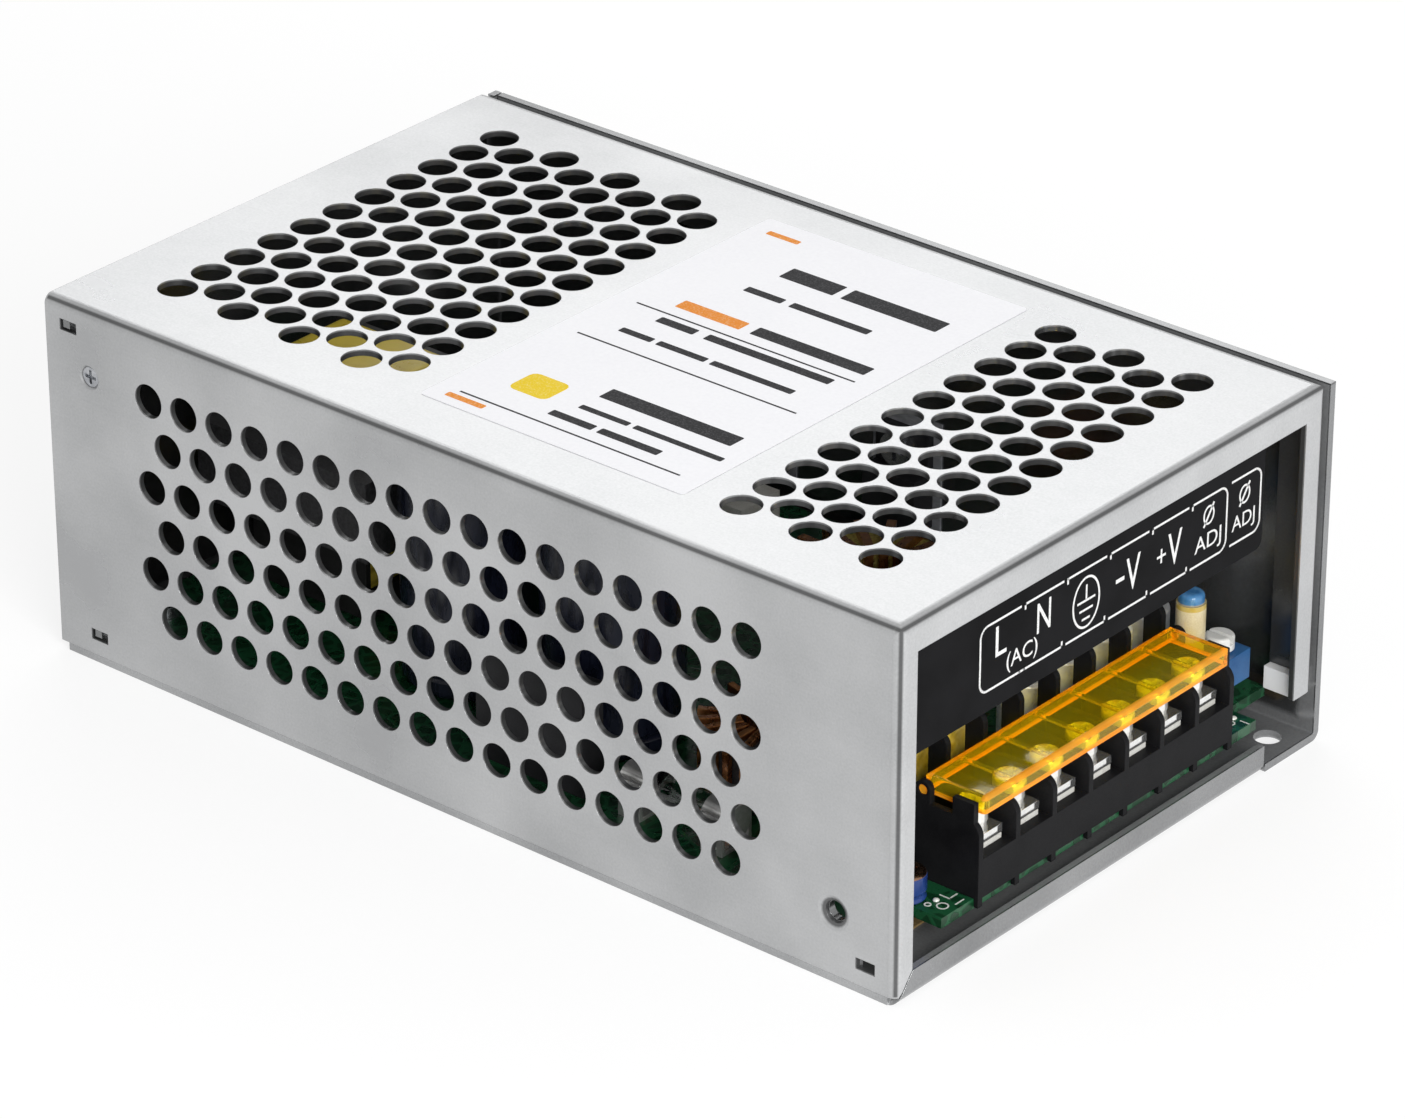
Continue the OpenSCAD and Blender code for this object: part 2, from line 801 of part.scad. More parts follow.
module circuit_board() {
    color([0.05, 0.3, 0.12]) difference() {
        union() {
            slab([rear_x + board_rear_gap, -board_y, board_z], [shoulder_x, board_y, board_top]);
            slab([shoulder_x - 1, -tongue_y, board_z], [tongue_x, tongue_y, board_top]);
        }
        for (p = fixing_points) post_at(p[0], p[1], board_z - 1, board_top + 1, fixing_r + fixing_play);
        leads(plain_pins, lead_r, board_top + 1);
        leads(lamp_pins, lamp_lead_r, board_top + 1);
        leads(concat(main_pins, drive_pins), bobbin_pin_r, board_top + 1);
        for (i = [1:ways]) tab_leg(i, board_top + 1);
    }
}

// Terminal block
module rib_side(is_end) {
    difference() {
        translate([block_x0, board_top]) {
            square([block_l - rib_round, rib_h]);
            square([block_l, rib_h - rib_round]);
            translate([block_l - rib_round, rib_h - rib_round]) circle(rib_round);
            square([2 * hump_r, hump_h - hump_r]);
            translate([hump_r, hump_h - hump_r]) circle(hump_r);
            if (is_end) {
                translate([pin_x - block_x0 - ear_r, 0]) square([2 * ear_r, pin_z - board_top]);
                translate([pin_x - block_x0, pin_z - board_top]) circle(ear_r);
                translate([latch_x0 - block_x0, 0]) square([latch_x1 - latch_x0, latch_h]);
            }
        }
        if (is_end) translate([pin_x, pin_z]) circle(pin_r + pin_play);
    }
}

module tab_leg(i, top) {
    slab([screw_x - tab_rear, way_y(i) - tab_leg_half, board_z - lead_drop],
        [screw_x - tab_rear + tab_t, way_y(i) + tab_leg_half, top]);
}

module terminal_block() {
    color([0.06, 0.06, 0.065]) difference() {
        union() {
            slab([block_x0, -block_w / 2, board_top], [block_x1, block_w / 2, slab_z]);
            slab([block_x0, -block_w / 2, board_top],
                [block_x0 + back_wall_t, block_w / 2, board_top + back_wall_h]);
            for (i = [0:ways]) {
                translate([0, rib_y(i) + rib_t / 2, 0]) rotate([90, 0, 0])
                    linear_extrude(rib_t) rib_side(i == 0 || i == ways);
                slab([block_x1 - foot_t, rib_y(i) - rib_t / 2, board_top - foot_h],
                    [block_x1, rib_y(i) + rib_t / 2, board_top + 1]);
            }
        }
        for (i = [1:ways]) {
            post_at(screw_x, way_y(i), board_top + well_floor, slab_z + 1, well_r);
            tab_leg(i, slab_z + 1);
        }
    }
}

module terminal_tabs() {
    color([0.85, 0.83, 0.76]) for (i = [1:ways]) difference() {
        union() {
            slab([screw_x - tab_rear, way_y(i) - tab_half, slab_z],
                [screw_x + tab_front, way_y(i) + tab_half, tab_top]);
            tab_leg(i, tab_top);
        }
        post_at(screw_x, way_y(i), slab_z - 1, tab_top + 1, shank_r + shank_play);
    }
}

module terminal_clamp(i) {
    color([0.88, 0.88, 0.87]) translate([screw_x, way_y(i), 0]) difference() {
        union() {
            slab([-clamp_rear, -clamp_half, clamp_z], [clamp_front, clamp_half, clamp_z + clamp_t]);
            slab([clamp_front - clamp_lip, -clamp_half, tab_top + rest_gap],
                [clamp_front, clamp_half, clamp_z + clamp_t]);
            slab([-clamp_rear, -clamp_half, tab_top + rest_gap],
                [-clamp_rear + clamp_lip, clamp_half, clamp_z + clamp_t]);
        }
        post_at(0, 0, tab_top, washer_z + 1, shank_r);
    }
}

module terminal_screw(i) {
    color([0.9, 0.9, 0.9]) translate([screw_x, way_y(i), 0]) difference() {
        union() {
            post_at(0, 0, board_top + screw_tip, head_z + 1, shank_r);
            post_at(0, 0, washer_z, head_z, washer_r);
            translate([0, 0, head_z]) turned_disc(head_r, head_h, head_round);
        }
        for (a = [0, 90]) translate([0, 0, head_z + head_h]) rotate(a)
            slab([-head_r * slot_share, -slot_w / 2, -slot_d], [head_r * slot_share, slot_w / 2, 1]);
    }
}

module terminal_screw_1() { terminal_screw(1); }
module terminal_screw_2() { terminal_screw(2); }
module terminal_screw_3() { terminal_screw(3); }
module terminal_screw_4() { terminal_screw(4); }
module terminal_screw_5() { terminal_screw(5); }
module terminal_screw_6() { terminal_screw(6); }
module terminal_screw_7() { terminal_screw(7); }
module terminal_clamp_1() { terminal_clamp(1); }
module terminal_clamp_2() { terminal_clamp(2); }
module terminal_clamp_3() { terminal_clamp(3); }
module terminal_clamp_4() { terminal_clamp(4); }
module terminal_clamp_5() { terminal_clamp(5); }
module terminal_clamp_6() { terminal_clamp(6); }
module terminal_clamp_7() { terminal_clamp(7); }

module terminal_lid() {
    color([0.95, 0.62, 0.05, 0.6]) {
        difference() {
            soft_slab([lid_x0, -lid_y, lid_z0 - lid_h], [lid_x1, lid_y, lid_z1], lid_round);
            soft_slab([lid_x0 + lid_t, -lid_y + lid_t, lid_z0 - 2 * lid_h],
                [lid_x1 - lid_t, lid_y - lid_t, lid_z1 - lid_t], lid_in_round);
            slab([lid_x0 - 1, -far, lid_z0 - 3 * lid_h], [lid_x1 + 1, far, lid_z0]);
        }
        for (i = [1:ways - 1])
            slab([lid_x0 + lid_t / 2, rib_y(i) - lid_rib_w / 2, lid_z1 - lid_t - lid_rib_h],
                [lid_x1 - lid_t / 2, rib_y(i) + lid_rib_w / 2, lid_z1 - lid_t / 2]);
        for (s = [-1, 1]) translate([pin_x, s * (lid_y - lid_t / 2), pin_z]) rotate([-s * 90, 0, 0])
            cylinder(h = block_w / 2 - pin_end - lid_y + lid_t / 2, r = pin_r);
    }
}

// Trim potentiometer and indicator
module trimpot_body() {
    color([0.1, 0.3, 0.62]) {
        difference() {
            slab([trim_x - trim_half, trim_y - trim_half, board_top + trim_lift],
                [trim_x + trim_half, trim_y + trim_half, board_top + trim_h]);
            post_at(trim_x, trim_y, board_top + trim_h - rotor_depth - 0.5, board_top + trim_h + 1,
                rotor_stem_r + rotor_play);
        }
        leads(trim_pins, lead_r, board_top + trim_lift + 1);
    }
}

module trimpot_rotor() {
    top = board_top + trim_h + trim_gap + rotor_h;
    color([0.93, 0.93, 0.91]) difference() {
        union() {
            post_at(trim_x, trim_y, board_top + trim_h - rotor_depth, top - 1, rotor_stem_r);
            translate([trim_x, trim_y, top - rotor_h]) turned_disc(rotor_r, rotor_h, rotor_round);
        }
        slab([trim_x - rotor_r - 1, trim_y - rotor_slot / 2, top - rotor_slot_d],
            [trim_x + rotor_r + 1, trim_y + rotor_slot / 2, top + 1]);
    }
}

module indicator_spacer() {
    color([0.87, 0.82, 0.7]) difference() {
        post_at(lamp_x, lamp_y, board_top, board_top + spacer_h, spacer_r);
        leads(lamp_pins, lamp_lead_r, board_top + spacer_h + 1);
    }
}

module indicator_lamp() {
    base_z = board_top + spacer_h;
    color([0.15, 0.35, 0.7]) {
        post_at(lamp_x, lamp_y, base_z, base_z + lamp_flange_h, spacer_r);
        translate([lamp_x, lamp_y, base_z]) turned_disc(lamp_r, lamp_h, lamp_round);
        leads(lamp_pins, lamp_lead_r, base_z + lamp_flange_h / 2);
    }
}

// Capacitors and other parts behind the terminals
module front_capacitor() {
    color([0.1, 0.2, 0.5]) {
        translate([front_cap_x, front_cap_y, board_top]) can(front_cap_r, front_cap_h, can_round);
        leads(front_cap_pins, lead_r, board_top + 1);
    }
}

module output_capacitors() {
    color([0.75, 0.76, 0.78]) {
        for (y = out_cap_y) translate([out_cap_x, y, board_top]) can(out_cap_r, out_cap_h, can_round);
        leads(out_cap_pins, lead_r, board_top + 1);
    }
}

module x_capacitor() {
    color([0.85, 0.7, 0.15]) {
        translate([xcap_at[0], xcap_at[1], board_top])
            soft_slab([-xcap_l / 2, -xcap_w / 2, 0], [xcap_l / 2, xcap_w / 2, xcap_h], xcap_round);
        leads(xcap_pins, lead_r, board_top + 1);
    }
}

module disc(r, t) {
    rotate([0, 90, 0]) translate([0, 0, -t / 2]) rotate_extrude() intersection() {
        square([r, t]);
        soft_square([-r, 0], [r, t], t / 2 - disc_flat);
    }
}

module thermistor() {
    color([0.12, 0.2, 0.14]) {
        translate([ntc_at[0], ntc_at[1], board_top + ntc_lift + ntc_r]) disc(ntc_r, ntc_t);
        leads(ntc_pins, lead_r, board_top + ntc_lift + ntc_r);
    }
}

module safety_capacitors() {
    color([0.16, 0.4, 0.72]) {
        for (p = ycap_at) translate([p[0], p[1], board_top + ycap_lift + ycap_r]) disc(ycap_r, ycap_t);
        leads(ycap_pins, lead_r, board_top + ycap_lift + ycap_r);
    }
}

// Fuse between two clips
module fuse_rod(x0, x1, r) {
    translate([fuse_x + x0, fuse_y, fuse_z]) rotate([0, 90, 0]) cylinder(h = x1 - x0, r = r);
}

module fuse_tube() {
    color([0.85, 0.9, 0.9, 0.5])
        fuse_rod(-fuse_l / 2 + fuse_cap_l, fuse_l / 2 - fuse_cap_l, fuse_r);
}

module fuse_caps() {
    color([0.8, 0.8, 0.82]) {
        fuse_rod(-fuse_l / 2, -fuse_l / 2 + fuse_cap_l, fuse_cap_r);
        fuse_rod(fuse_l / 2 - fuse_cap_l, fuse_l / 2, fuse_cap_r);
    }
}

module fuse_clips() {
    color([0.75, 0.74, 0.68]) for (s = [-1, 1])
        translate([fuse_x + s * (fuse_l - fuse_cap_l) / 2 - clip_l / 2, fuse_y, 0]) difference() {
            slab([0, -fuse_cap_r - clip_t, board_top], [clip_l, fuse_cap_r + clip_t, fuse_z + clip_rise]);
            slab([-1, -fuse_cap_r, board_top + clip_t], [clip_l + 1, fuse_cap_r, fuse_z + far]);
        }
}

// Ring cores: outer radius, inner radius, height
module ring_core(at, ring, wire) {
    translate([at[0], at[1], board_top + wire]) difference() {
        cylinder(h = ring[2], r = ring[0]);
        translate([0, 0, -1]) cylinder(h = ring[2] + 2, r = ring[1]);
    }
}

module ring_turn(ring, wire) {
    rotate([90, 0, 0]) translate([0, 0, -wire / 2]) linear_extrude(wire) difference() {
        translate([ring[1] - turn_gap - wire, 0])
            square([ring[0] - ring[1] + 2 * (wire + turn_gap), ring[2] + 2 * wire]);
        translate([ring[1] - turn_gap, wire]) square([ring[0] - ring[1] + 2 * turn_gap, ring[2]]);
    }
}

module ring_turns(at, ring, wire, turns, sweep, start) {
    translate([at[0], at[1], board_top]) for (k = [0:turns - 1])
        rotate(start - sweep / 2 + sweep * k / (turns - 1)) ring_turn(ring, wire);
}

module line_choke_core() {
    color([0.2, 0.21, 0.22]) ring_core(line_choke_at, line_ring, line_wire);
}

module line_choke_winding() {
    color([0.72, 0.38, 0.16]) for (a = line_half_turns)
        ring_turns(line_choke_at, line_ring, line_wire, line_turns, line_sweep, a);
}

module output_choke_core() {
    color([0.82, 0.75, 0.35]) ring_core(out_choke_at, out_ring, out_wire);
}

module output_choke_winding() {
    color([0.76, 0.42, 0.18]) ring_turns(out_choke_at, out_ring, out_wire, out_turns, out_sweep, 90);
}

module bridge_rectifier() {
    color([0.09, 0.09, 0.1]) {
        translate([bridge_at[0], bridge_at[1], board_top])
            slab([-bridge_l / 2, -bridge_t / 2, 0], [bridge_l / 2, bridge_t / 2, bridge_h]);
        leads(bridge_pins, lead_r, board_top + 1);
    }
}

module bulk_capacitor(k) {
    color([0.1, 0.11, 0.16]) {
        translate([bulk_x[k], bulk_y, board_top]) can(bulk_r, bulk_h, bulk_round);
        leads([for (d = [-bulk_lead, bulk_lead]) [bulk_x[k], bulk_y + d]], lead_r, board_top + 1);
    }
}

module bulk_capacitor_1() { bulk_capacitor(0); }
module bulk_capacitor_2() { bulk_capacitor(1); }

// Transformers: a frame core lying flat, a taped winding round its middle leg, a bobbin with pins
module lying_frame(at, core, base_h, wind_h) {
    translate([at[0], at[1] + core[2] / 2, board_top + base_h + wind_h]) rotate([90, 0, 0]) children();
}

module frame_core(core, leg) {
    window = core[0] / 2 - leg[0] - leg[1];
    difference() {
        slab([-core[0] / 2, -core[1] / 2, 0], [core[0] / 2, core[1] / 2, core[2]]);
        for (s = [-1, 1]) translate([s * (leg[0] + window / 2), 0, 0])
            slab([-window / 2, -core[1], leg[2]], [window / 2, core[1], core[2] - leg[2]]);
    }
}

module middle_leg(core, leg) {
    slab([-leg[0], -core[1] / 2, -1], [leg[0], core[1] / 2, core[2] + 1]);
}

module frame_winding(core, leg, wind_h) {
    wind_x = core[0] / 2 - leg[1] - wind_gap;
    difference() {
        translate([0, 0, leg[2] + bobbin_t]) linear_extrude(core[2] - 2 * leg[2] - 2 * bobbin_t)
            soft_square([-wind_x, -wind_h], [wind_x, wind_h], wind_round);
        middle_leg(core, leg);
    }
}

module frame_bobbin(core, leg, base_h, wind_h) {
    wind_x = core[0] / 2 - leg[1] - wind_gap;
    far_end = core[2] - leg[2];
    for (z = [leg[2], far_end - bobbin_t]) difference() {
        slab([-wind_x, -wind_h - base_h, z], [wind_x, wind_h, z + bobbin_t]);
        middle_leg(core, leg);
    }
    slab([-wind_x, -wind_h - base_h, leg[2]], [wind_x, -wind_h, far_end]);
}

module transformer_core() {
    color([0.23, 0.23, 0.24]) lying_frame(main_at, main_core, main_base_h, main_wind_h)
        frame_core(main_core, main_leg);
}

module transformer_winding() {
    color([0.9, 0.78, 0.2]) lying_frame(main_at, main_core, main_base_h, main_wind_h)
        frame_winding(main_core, main_leg, main_wind_h);
}

module transformer_bobbin() {
    color([0.12, 0.12, 0.12]) {
        lying_frame(main_at, main_core, main_base_h, main_wind_h)
            frame_bobbin(main_core, main_leg, main_base_h, main_wind_h);
        leads(main_pins, bobbin_pin_r, board_top + 1);
    }
}

module drive_core() {
    color([0.23, 0.23, 0.24]) lying_frame(drive_at, drive_size, drive_base_h, drive_wind_h)
        frame_core(drive_size, drive_leg);
}

module drive_winding() {
    color([0.9, 0.78, 0.2]) lying_frame(drive_at, drive_size, drive_base_h, drive_wind_h)
        frame_winding(drive_size, drive_leg, drive_wind_h);
}

module drive_bobbin() {
    color([0.12, 0.12, 0.12]) {
        lying_frame(drive_at, drive_size, drive_base_h, drive_wind_h)
            frame_bobbin(drive_size, drive_leg, drive_base_h, drive_wind_h);
        leads(drive_pins, bobbin_pin_r, board_top + 1);
    }
}

// Transistors and rectifier screwed to the right wall through insulating pads
module wall_bore(r) {
    for (x = wall_part_x) translate([x, far, wall_part_z + wall_hole_z])
        rotate([90, 0, 0]) cylinder(h = 2 * far, r = r);
}

module wall_transistors() {
    color([0.13, 0.13, 0.14]) {
        difference() {
            for (x = wall_part_x) {
                slab([x - wall_part_w / 2, part_back_y - wall_tab_t, wall_part_z],
                    [x + wall_part_w / 2, part_back_y, wall_part_z + wall_tab_h]);
                slab([x - wall_part_w / 2, part_back_y - wall_body_t, wall_part_z],
                    [x + wall_part_w / 2, part_back_y, wall_part_z + wall_body_h]);
            }
            wall_bore(wall_hole_r);
        }
        leads(wall_pins, lead_r, wall_part_z + 1);
    }
}

module wall_pads() {
    color([0.62, 0.63, 0.66]) difference() {
        for (x = wall_part_x)
            slab([x - pad_w / 2, part_back_y, wall_part_z - pad_drop],
                [x + pad_w / 2, wall_in_y, wall_part_z - pad_drop + pad_h]);
        wall_bore(wall_hole_r);
    }
}

module wall_screws() {
    color([0.72, 0.72, 0.74]) for (x = wall_part_x)
        translate([x, part_back_y - wall_tab_t, wall_part_z + wall_hole_z]) rotate([-90, 0, 0]) difference() {
            union() {
                cylinder(h = right_y - part_back_y + wall_tab_t, r = wall_screw_r);
                translate([0, 0, -fixing_head_h]) cylinder(h = fixing_head_h, r = fixing_head_r);
            }
            for (a = [0, 90]) translate([0, 0, -fixing_head_h]) rotate(a)
                cross_cut();
        }
}

module controller_chip() {
    color([0.1, 0.1, 0.11]) translate([chip_at[0], chip_at[1], board_top]) {
        slab([-chip_size[0] / 2, -chip_size[1] / 2, chip_lift],
            [chip_size[0] / 2, chip_size[1] / 2, chip_lift + chip_size[2]]);
        for (k = [0:chip_legs - 1], s = [-1, 1])
            translate([(k - (chip_legs - 1) / 2) * chip_leg_pitch, s * chip_size[1] / 2, 0])
                slab([-chip_leg_w / 2, -chip_leg_t / 2, 0],
                    [chip_leg_w / 2, chip_leg_t / 2, chip_lift + chip_size[2] / 2]);
    }
}

module load_resistor() {
    color([0.88, 0.87, 0.83]) {
        translate([resistor_at[0], resistor_at[1], board_top])
            slab([-resistor_size[0] / 2, -resistor_size[1] / 2, 0],
                [resistor_size[0] / 2, resistor_size[1] / 2, resistor_size[2]]);
        leads(resistor_pins, lead_r, board_top + 1);
    }
}

chassis();
cover_top();
cover_left();
cover_right();
cover_front();
cover_screws();
marking_plate();
edge_guard();
insulation_sheet();
standoffs();
board_screws();
circuit_board();
terminal_block();
terminal_tabs();
terminal_screw_1();
terminal_screw_2();
terminal_screw_3();
terminal_screw_4();
terminal_screw_5();
terminal_screw_6();
terminal_screw_7();
terminal_clamp_1();
terminal_clamp_2();
terminal_clamp_3();
terminal_clamp_4();
terminal_clamp_5();
terminal_clamp_6();
terminal_clamp_7();
terminal_lid();
trimpot_body();
trimpot_rotor();
indicator_spacer();
indicator_lamp();
front_capacitor();
output_capacitors();
x_capacitor();
thermistor();
fuse_tube();
fuse_caps();
fuse_clips();
line_choke_core();
line_choke_winding();
safety_capacitors();
bridge_rectifier();
bulk_capacitor_1();
bulk_capacitor_2();
transformer_core();
transformer_winding();
transformer_bobbin();
drive_core();
drive_winding();
drive_bobbin();
wall_transistors();
wall_pads();
wall_screws();
output_choke_core();
output_choke_winding();
controller_chip();
load_resistor();
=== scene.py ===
import bpy
import json
import math
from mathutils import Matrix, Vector


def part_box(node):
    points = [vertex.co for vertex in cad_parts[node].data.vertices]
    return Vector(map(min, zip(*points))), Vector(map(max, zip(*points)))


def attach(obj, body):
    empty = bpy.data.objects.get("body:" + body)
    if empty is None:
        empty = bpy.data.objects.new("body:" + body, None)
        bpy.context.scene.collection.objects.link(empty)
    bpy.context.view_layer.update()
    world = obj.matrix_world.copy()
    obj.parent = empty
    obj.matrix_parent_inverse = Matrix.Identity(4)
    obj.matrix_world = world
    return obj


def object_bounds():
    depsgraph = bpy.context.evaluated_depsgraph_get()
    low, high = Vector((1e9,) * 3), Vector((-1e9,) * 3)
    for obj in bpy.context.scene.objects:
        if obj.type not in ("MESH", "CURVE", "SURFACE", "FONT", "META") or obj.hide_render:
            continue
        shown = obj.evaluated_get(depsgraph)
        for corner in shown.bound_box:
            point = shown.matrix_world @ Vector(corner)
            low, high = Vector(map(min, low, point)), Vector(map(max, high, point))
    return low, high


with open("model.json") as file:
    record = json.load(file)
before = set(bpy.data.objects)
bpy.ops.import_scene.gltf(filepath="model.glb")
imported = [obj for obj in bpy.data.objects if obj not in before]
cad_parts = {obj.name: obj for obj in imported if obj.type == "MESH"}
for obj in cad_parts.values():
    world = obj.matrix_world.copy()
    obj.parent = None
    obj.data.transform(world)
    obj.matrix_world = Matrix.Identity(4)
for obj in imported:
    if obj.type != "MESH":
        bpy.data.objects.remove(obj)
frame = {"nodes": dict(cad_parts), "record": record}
cadLow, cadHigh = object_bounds()
parts = frame["nodes"]
mm = 0.001
print("frame loaded:", len(parts), "parts")


# Helpers for node materials; sizes of patterns are in metres on object coordinates
def newFinish(name, fixed):
    finish = bpy.data.materials.new(name)
    finish.use_nodes = True
    for socket, value in fixed.items():
        shaderOf(finish).inputs[socket].default_value = value
    return finish


def shaderOf(finish):
    return finish.node_tree.nodes["Principled BSDF"]


def addNode(finish, kind, values=None, **settings):
    node = finish.node_tree.nodes.new("ShaderNode" + kind)
    for key, value in settings.items():
        setattr(node, key, value)
    for socket, value in (values or {}).items():
        node.inputs[socket].default_value = value
    return node


def link(finish, output, target):
    finish.node_tree.links.new(output, target)


def objectPlace(finish, stretch=(1, 1, 1)):
    coords = addNode(finish, "TexCoord")
    mapping = addNode(finish, "Mapping", {"Scale": stretch})
    link(finish, coords.outputs["Object"], mapping.inputs["Vector"])
    return mapping.outputs["Vector"]


def cloud(finish, size, detail=3.0, stretch=(1, 1, 1)):
    noise = addNode(finish, "TexNoise", {"Scale": 1 / size, "Detail": detail})
    link(finish, objectPlace(finish, stretch), noise.inputs["Vector"])
    return noise.outputs["Fac"]


# Maps a value to a new range; most of a cloud lies between 0.3 and 0.7
def spread(finish, source, low, high, start=0.3, end=0.7):
    ends = {"From Min": start, "From Max": end, "To Min": low, "To Max": high}
    node = addNode(finish, "MapRange", ends)
    link(finish, source, node.inputs["Value"])
    return node.outputs["Result"]


def blend(finish, first, second, share):
    node = addNode(finish, "Mix", {"Factor": share})
    link(finish, first, node.inputs["A"])
    link(finish, second, node.inputs["B"])
    return node.outputs["Result"]


def tones(finish, source, places, colours):
    ramp = addNode(finish, "ValToRGB")
    spots = ramp.color_ramp.elements
    while len(spots) < len(places):
        spots.new(0.5)
    for spot, place, colour in zip(spots, places, colours):
        spot.position = place
        spot.color = (*colour, 1)
    link(finish, source, ramp.inputs["Fac"])
    return ramp.outputs["Color"]


def darkToLight(finish, source, tone, places):
    return tones(finish, source, places, (tone["dark"], tone["light"]))


def paint(finish, colour):
    link(finish, colour, shaderOf(finish).inputs["Base Color"])


def polish(finish, source, rough):
    link(finish, spread(finish, source, *rough), shaderOf(finish).inputs["Roughness"])


# Bump is a depth and a strength; edge rounds the shading of sharp corners
def relief(finish, height, bump, edge=0.0):
    depth, strength = bump
    node = addNode(finish, "Bump", {"Strength": strength, "Distance": depth})
    link(finish, height, node.inputs["Height"])
    if edge:
        bevel = addNode(finish, "Bevel", {"Radius": edge}, samples=4)
        link(finish, bevel.outputs["Normal"], node.inputs["Normal"])
    link(finish, node.outputs["Normal"], shaderOf(finish).inputs["Normal"])


def alongAxis(finish, axis):
    coords = addNode(finish, "TexCoord")
    axes = addNode(finish, "SeparateXYZ")
    link(finish, coords.outputs["Object"], axes.inputs["Vector"])
    return axes.outputs[axis]


# 0 below a level on one axis and 1 above it
def axisMask(finish, axis, level, softness):
    return spread(finish, alongAxis(finish, axis), 0, 1, level - softness, level + softness)


def invert(finish, mask):
    return spread(finish, mask, 1, 0, 0, 1)


def combine(finish, operation, first, second):
    node = addNode(finish, "Math", operation=operation)
    link(finish, first, node.inputs[0])
    link(finish, second, node.inputs[1])
    return node.outputs[0]


# The Mix node keeps its colour sockets at inputs 6 and 7 and at output 2
def mixColours(finish, share, first, second):
    node = addNode(finish, "Mix", data_type="RGBA")
    link(finish, share, node.inputs["Factor"])
    link(finish, first, node.inputs[6])
    link(finish, second, node.inputs[7])
    return node.outputs[2]


def dressNode(name, finish):
    for spot in parts[name].material_slots:
        spot.material = finish


def dress(slot, finish):
    for row in frame["record"]["subparts"]:
        if row["material_slot"] == slot:
            dressNode(row["node"], finish)


# Folded sheet: smooth rolled grain with faint handling clouds; painted shade darkens the bends and the faces
# behind the skin, and the front and top faces carry painted light or shade
sheet = {  # levels of painted shade on the inner faces and in the bends, and, by axis, of painted light or shade on the front (X) and top (Z) faces, where above 1 is painted light
    "chassis_sheet": {
        "dark": (0.29, 0.295, 0.30), "light": (0.44, 0.445, 0.45), "rough": (0.14, 0.26), "metal": 0.90,
        "inner": 0.62, "outer": {"X": 0.84, "Z": 0.55}, "rim metal": 0.25, "nodes": ("chassis",),
    },
    "cover_sheet": {
        "dark": (0.37, 0.375, 0.38), "light": (0.51, 0.515, 0.52), "rough": (0.26, 0.38), "metal": 0.72,
        "inner": 0.28, "outer": {"X": 1.25}, "nodes": ("cover_left", "cover_right", "cover_front"),
    },
}
rolling = {
    "grain": 0.35 * mm, "streak": 0.5 * mm, "streak stretch": (0.06, 1, 1), "fine detail": 2.0,
    "smear": 26 * mm, "smear detail": 5.0, "streak share": 0.2, "speckle share": 0.3,
    "places": (0.36, 0.64), "bump": (0.02 * mm, 0.14), "edge": 0.12 * mm,
    "skin": 0.25 * mm, "fade": 0.08 * mm, "rim": 3 * mm, "rim fade": 0.5 * mm,
}


# 1 where a point lies deeper than the skin behind every outer face, which is so in the middle of a bend too;
# there the sheet's colour gets painted shade
def behindSkin(finish, low, high):
    inner = None
    for place, axis in enumerate("XYZ"):
        past = axisMask(finish, axis, low[place] + rolling["skin"], rolling["fade"])
        beyond = axisMask(finish, axis, high[place] - rolling["skin"], rolling["fade"])
        between = combine(finish, "SUBTRACT", past, beyond)
        inner = between if inner is None else combine(finish, "MULTIPLY", inner, between)
    return inner


# 1 close to the front, the top or the base, where light still reaches the inner faces
def nearRim(finish, low, high):
    front = axisMask(finish, "X", high[0] - rolling["rim"], rolling["rim fade"])
    top = axisMask(finish, "Z", high[2] - rolling["rim"], rolling["rim fade"])
    aboveBase = axisMask(finish, "Z", low[2] + rolling["rim"], rolling["rim fade"])
    return combine(finish, "MAXIMUM", front, combine(finish, "MAXIMUM", top, invert(finish, aboveBase)))


def rolledSheet(slot):
    tone = sheet[slot]
    boxes = [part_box(node) for node in tone["nodes"]]
    low = [min(box[0][axis] for box in boxes) for axis in range(3)]
    high = [max(box[1][axis] for box in boxes) for axis in range(3)]
    finish = newFinish(slot, {"Metallic": tone["metal"]})
    grain = cloud(finish, rolling["grain"], rolling["fine detail"])
    streak = cloud(finish, rolling["streak"], rolling["fine detail"], rolling["streak stretch"])
    smear = cloud(finish, rolling["smear"], rolling["smear detail"])
    speckle = blend(finish, grain, streak, rolling["streak share"])
    mottle = blend(finish, smear, speckle, rolling["speckle share"])
    # Painted shade: the colour is darkened on the inner faces and in the bends, and made lighter or darker
    # on the front and top faces
    inner = behindSkin(finish, low, high)
    level = spread(finish, inner, 1, tone["inner"], 0, 1)
    for axis, share in tone["outer"].items():
        skin = axisMask(finish, axis, high["XYZ".index(axis)] - rolling["skin"], rolling["fade"])
        level = combine(finish, "MULTIPLY", level, spread(finish, skin, 1, share, 0, 1))
    shaded = addNode(finish, "VectorMath", operation="SCALE")
    link(finish, darkToLight(finish, mottle, tone, rolling["places"]), shaded.inputs[0])
    link(finish, level, shaded.inputs["Scale"])
    paint(finish, shaded.outputs[0])
    if "rim metal" in tone:
        rim = combine(finish, "MULTIPLY", inner, nearRim(finish, low, high))
        metal = spread(finish, rim, tone["metal"], tone["rim metal"], 0, 1)
        link(finish, metal, shaderOf(finish).inputs["Metallic"])
    polish(finish, smear, tone["rough"])
    relief(finish, speckle, rolling["bump"], rolling["edge"])
    return finish


for slot in sheet:
    dress(slot, rolledSheet(slot))
print("sheet metal dressed")


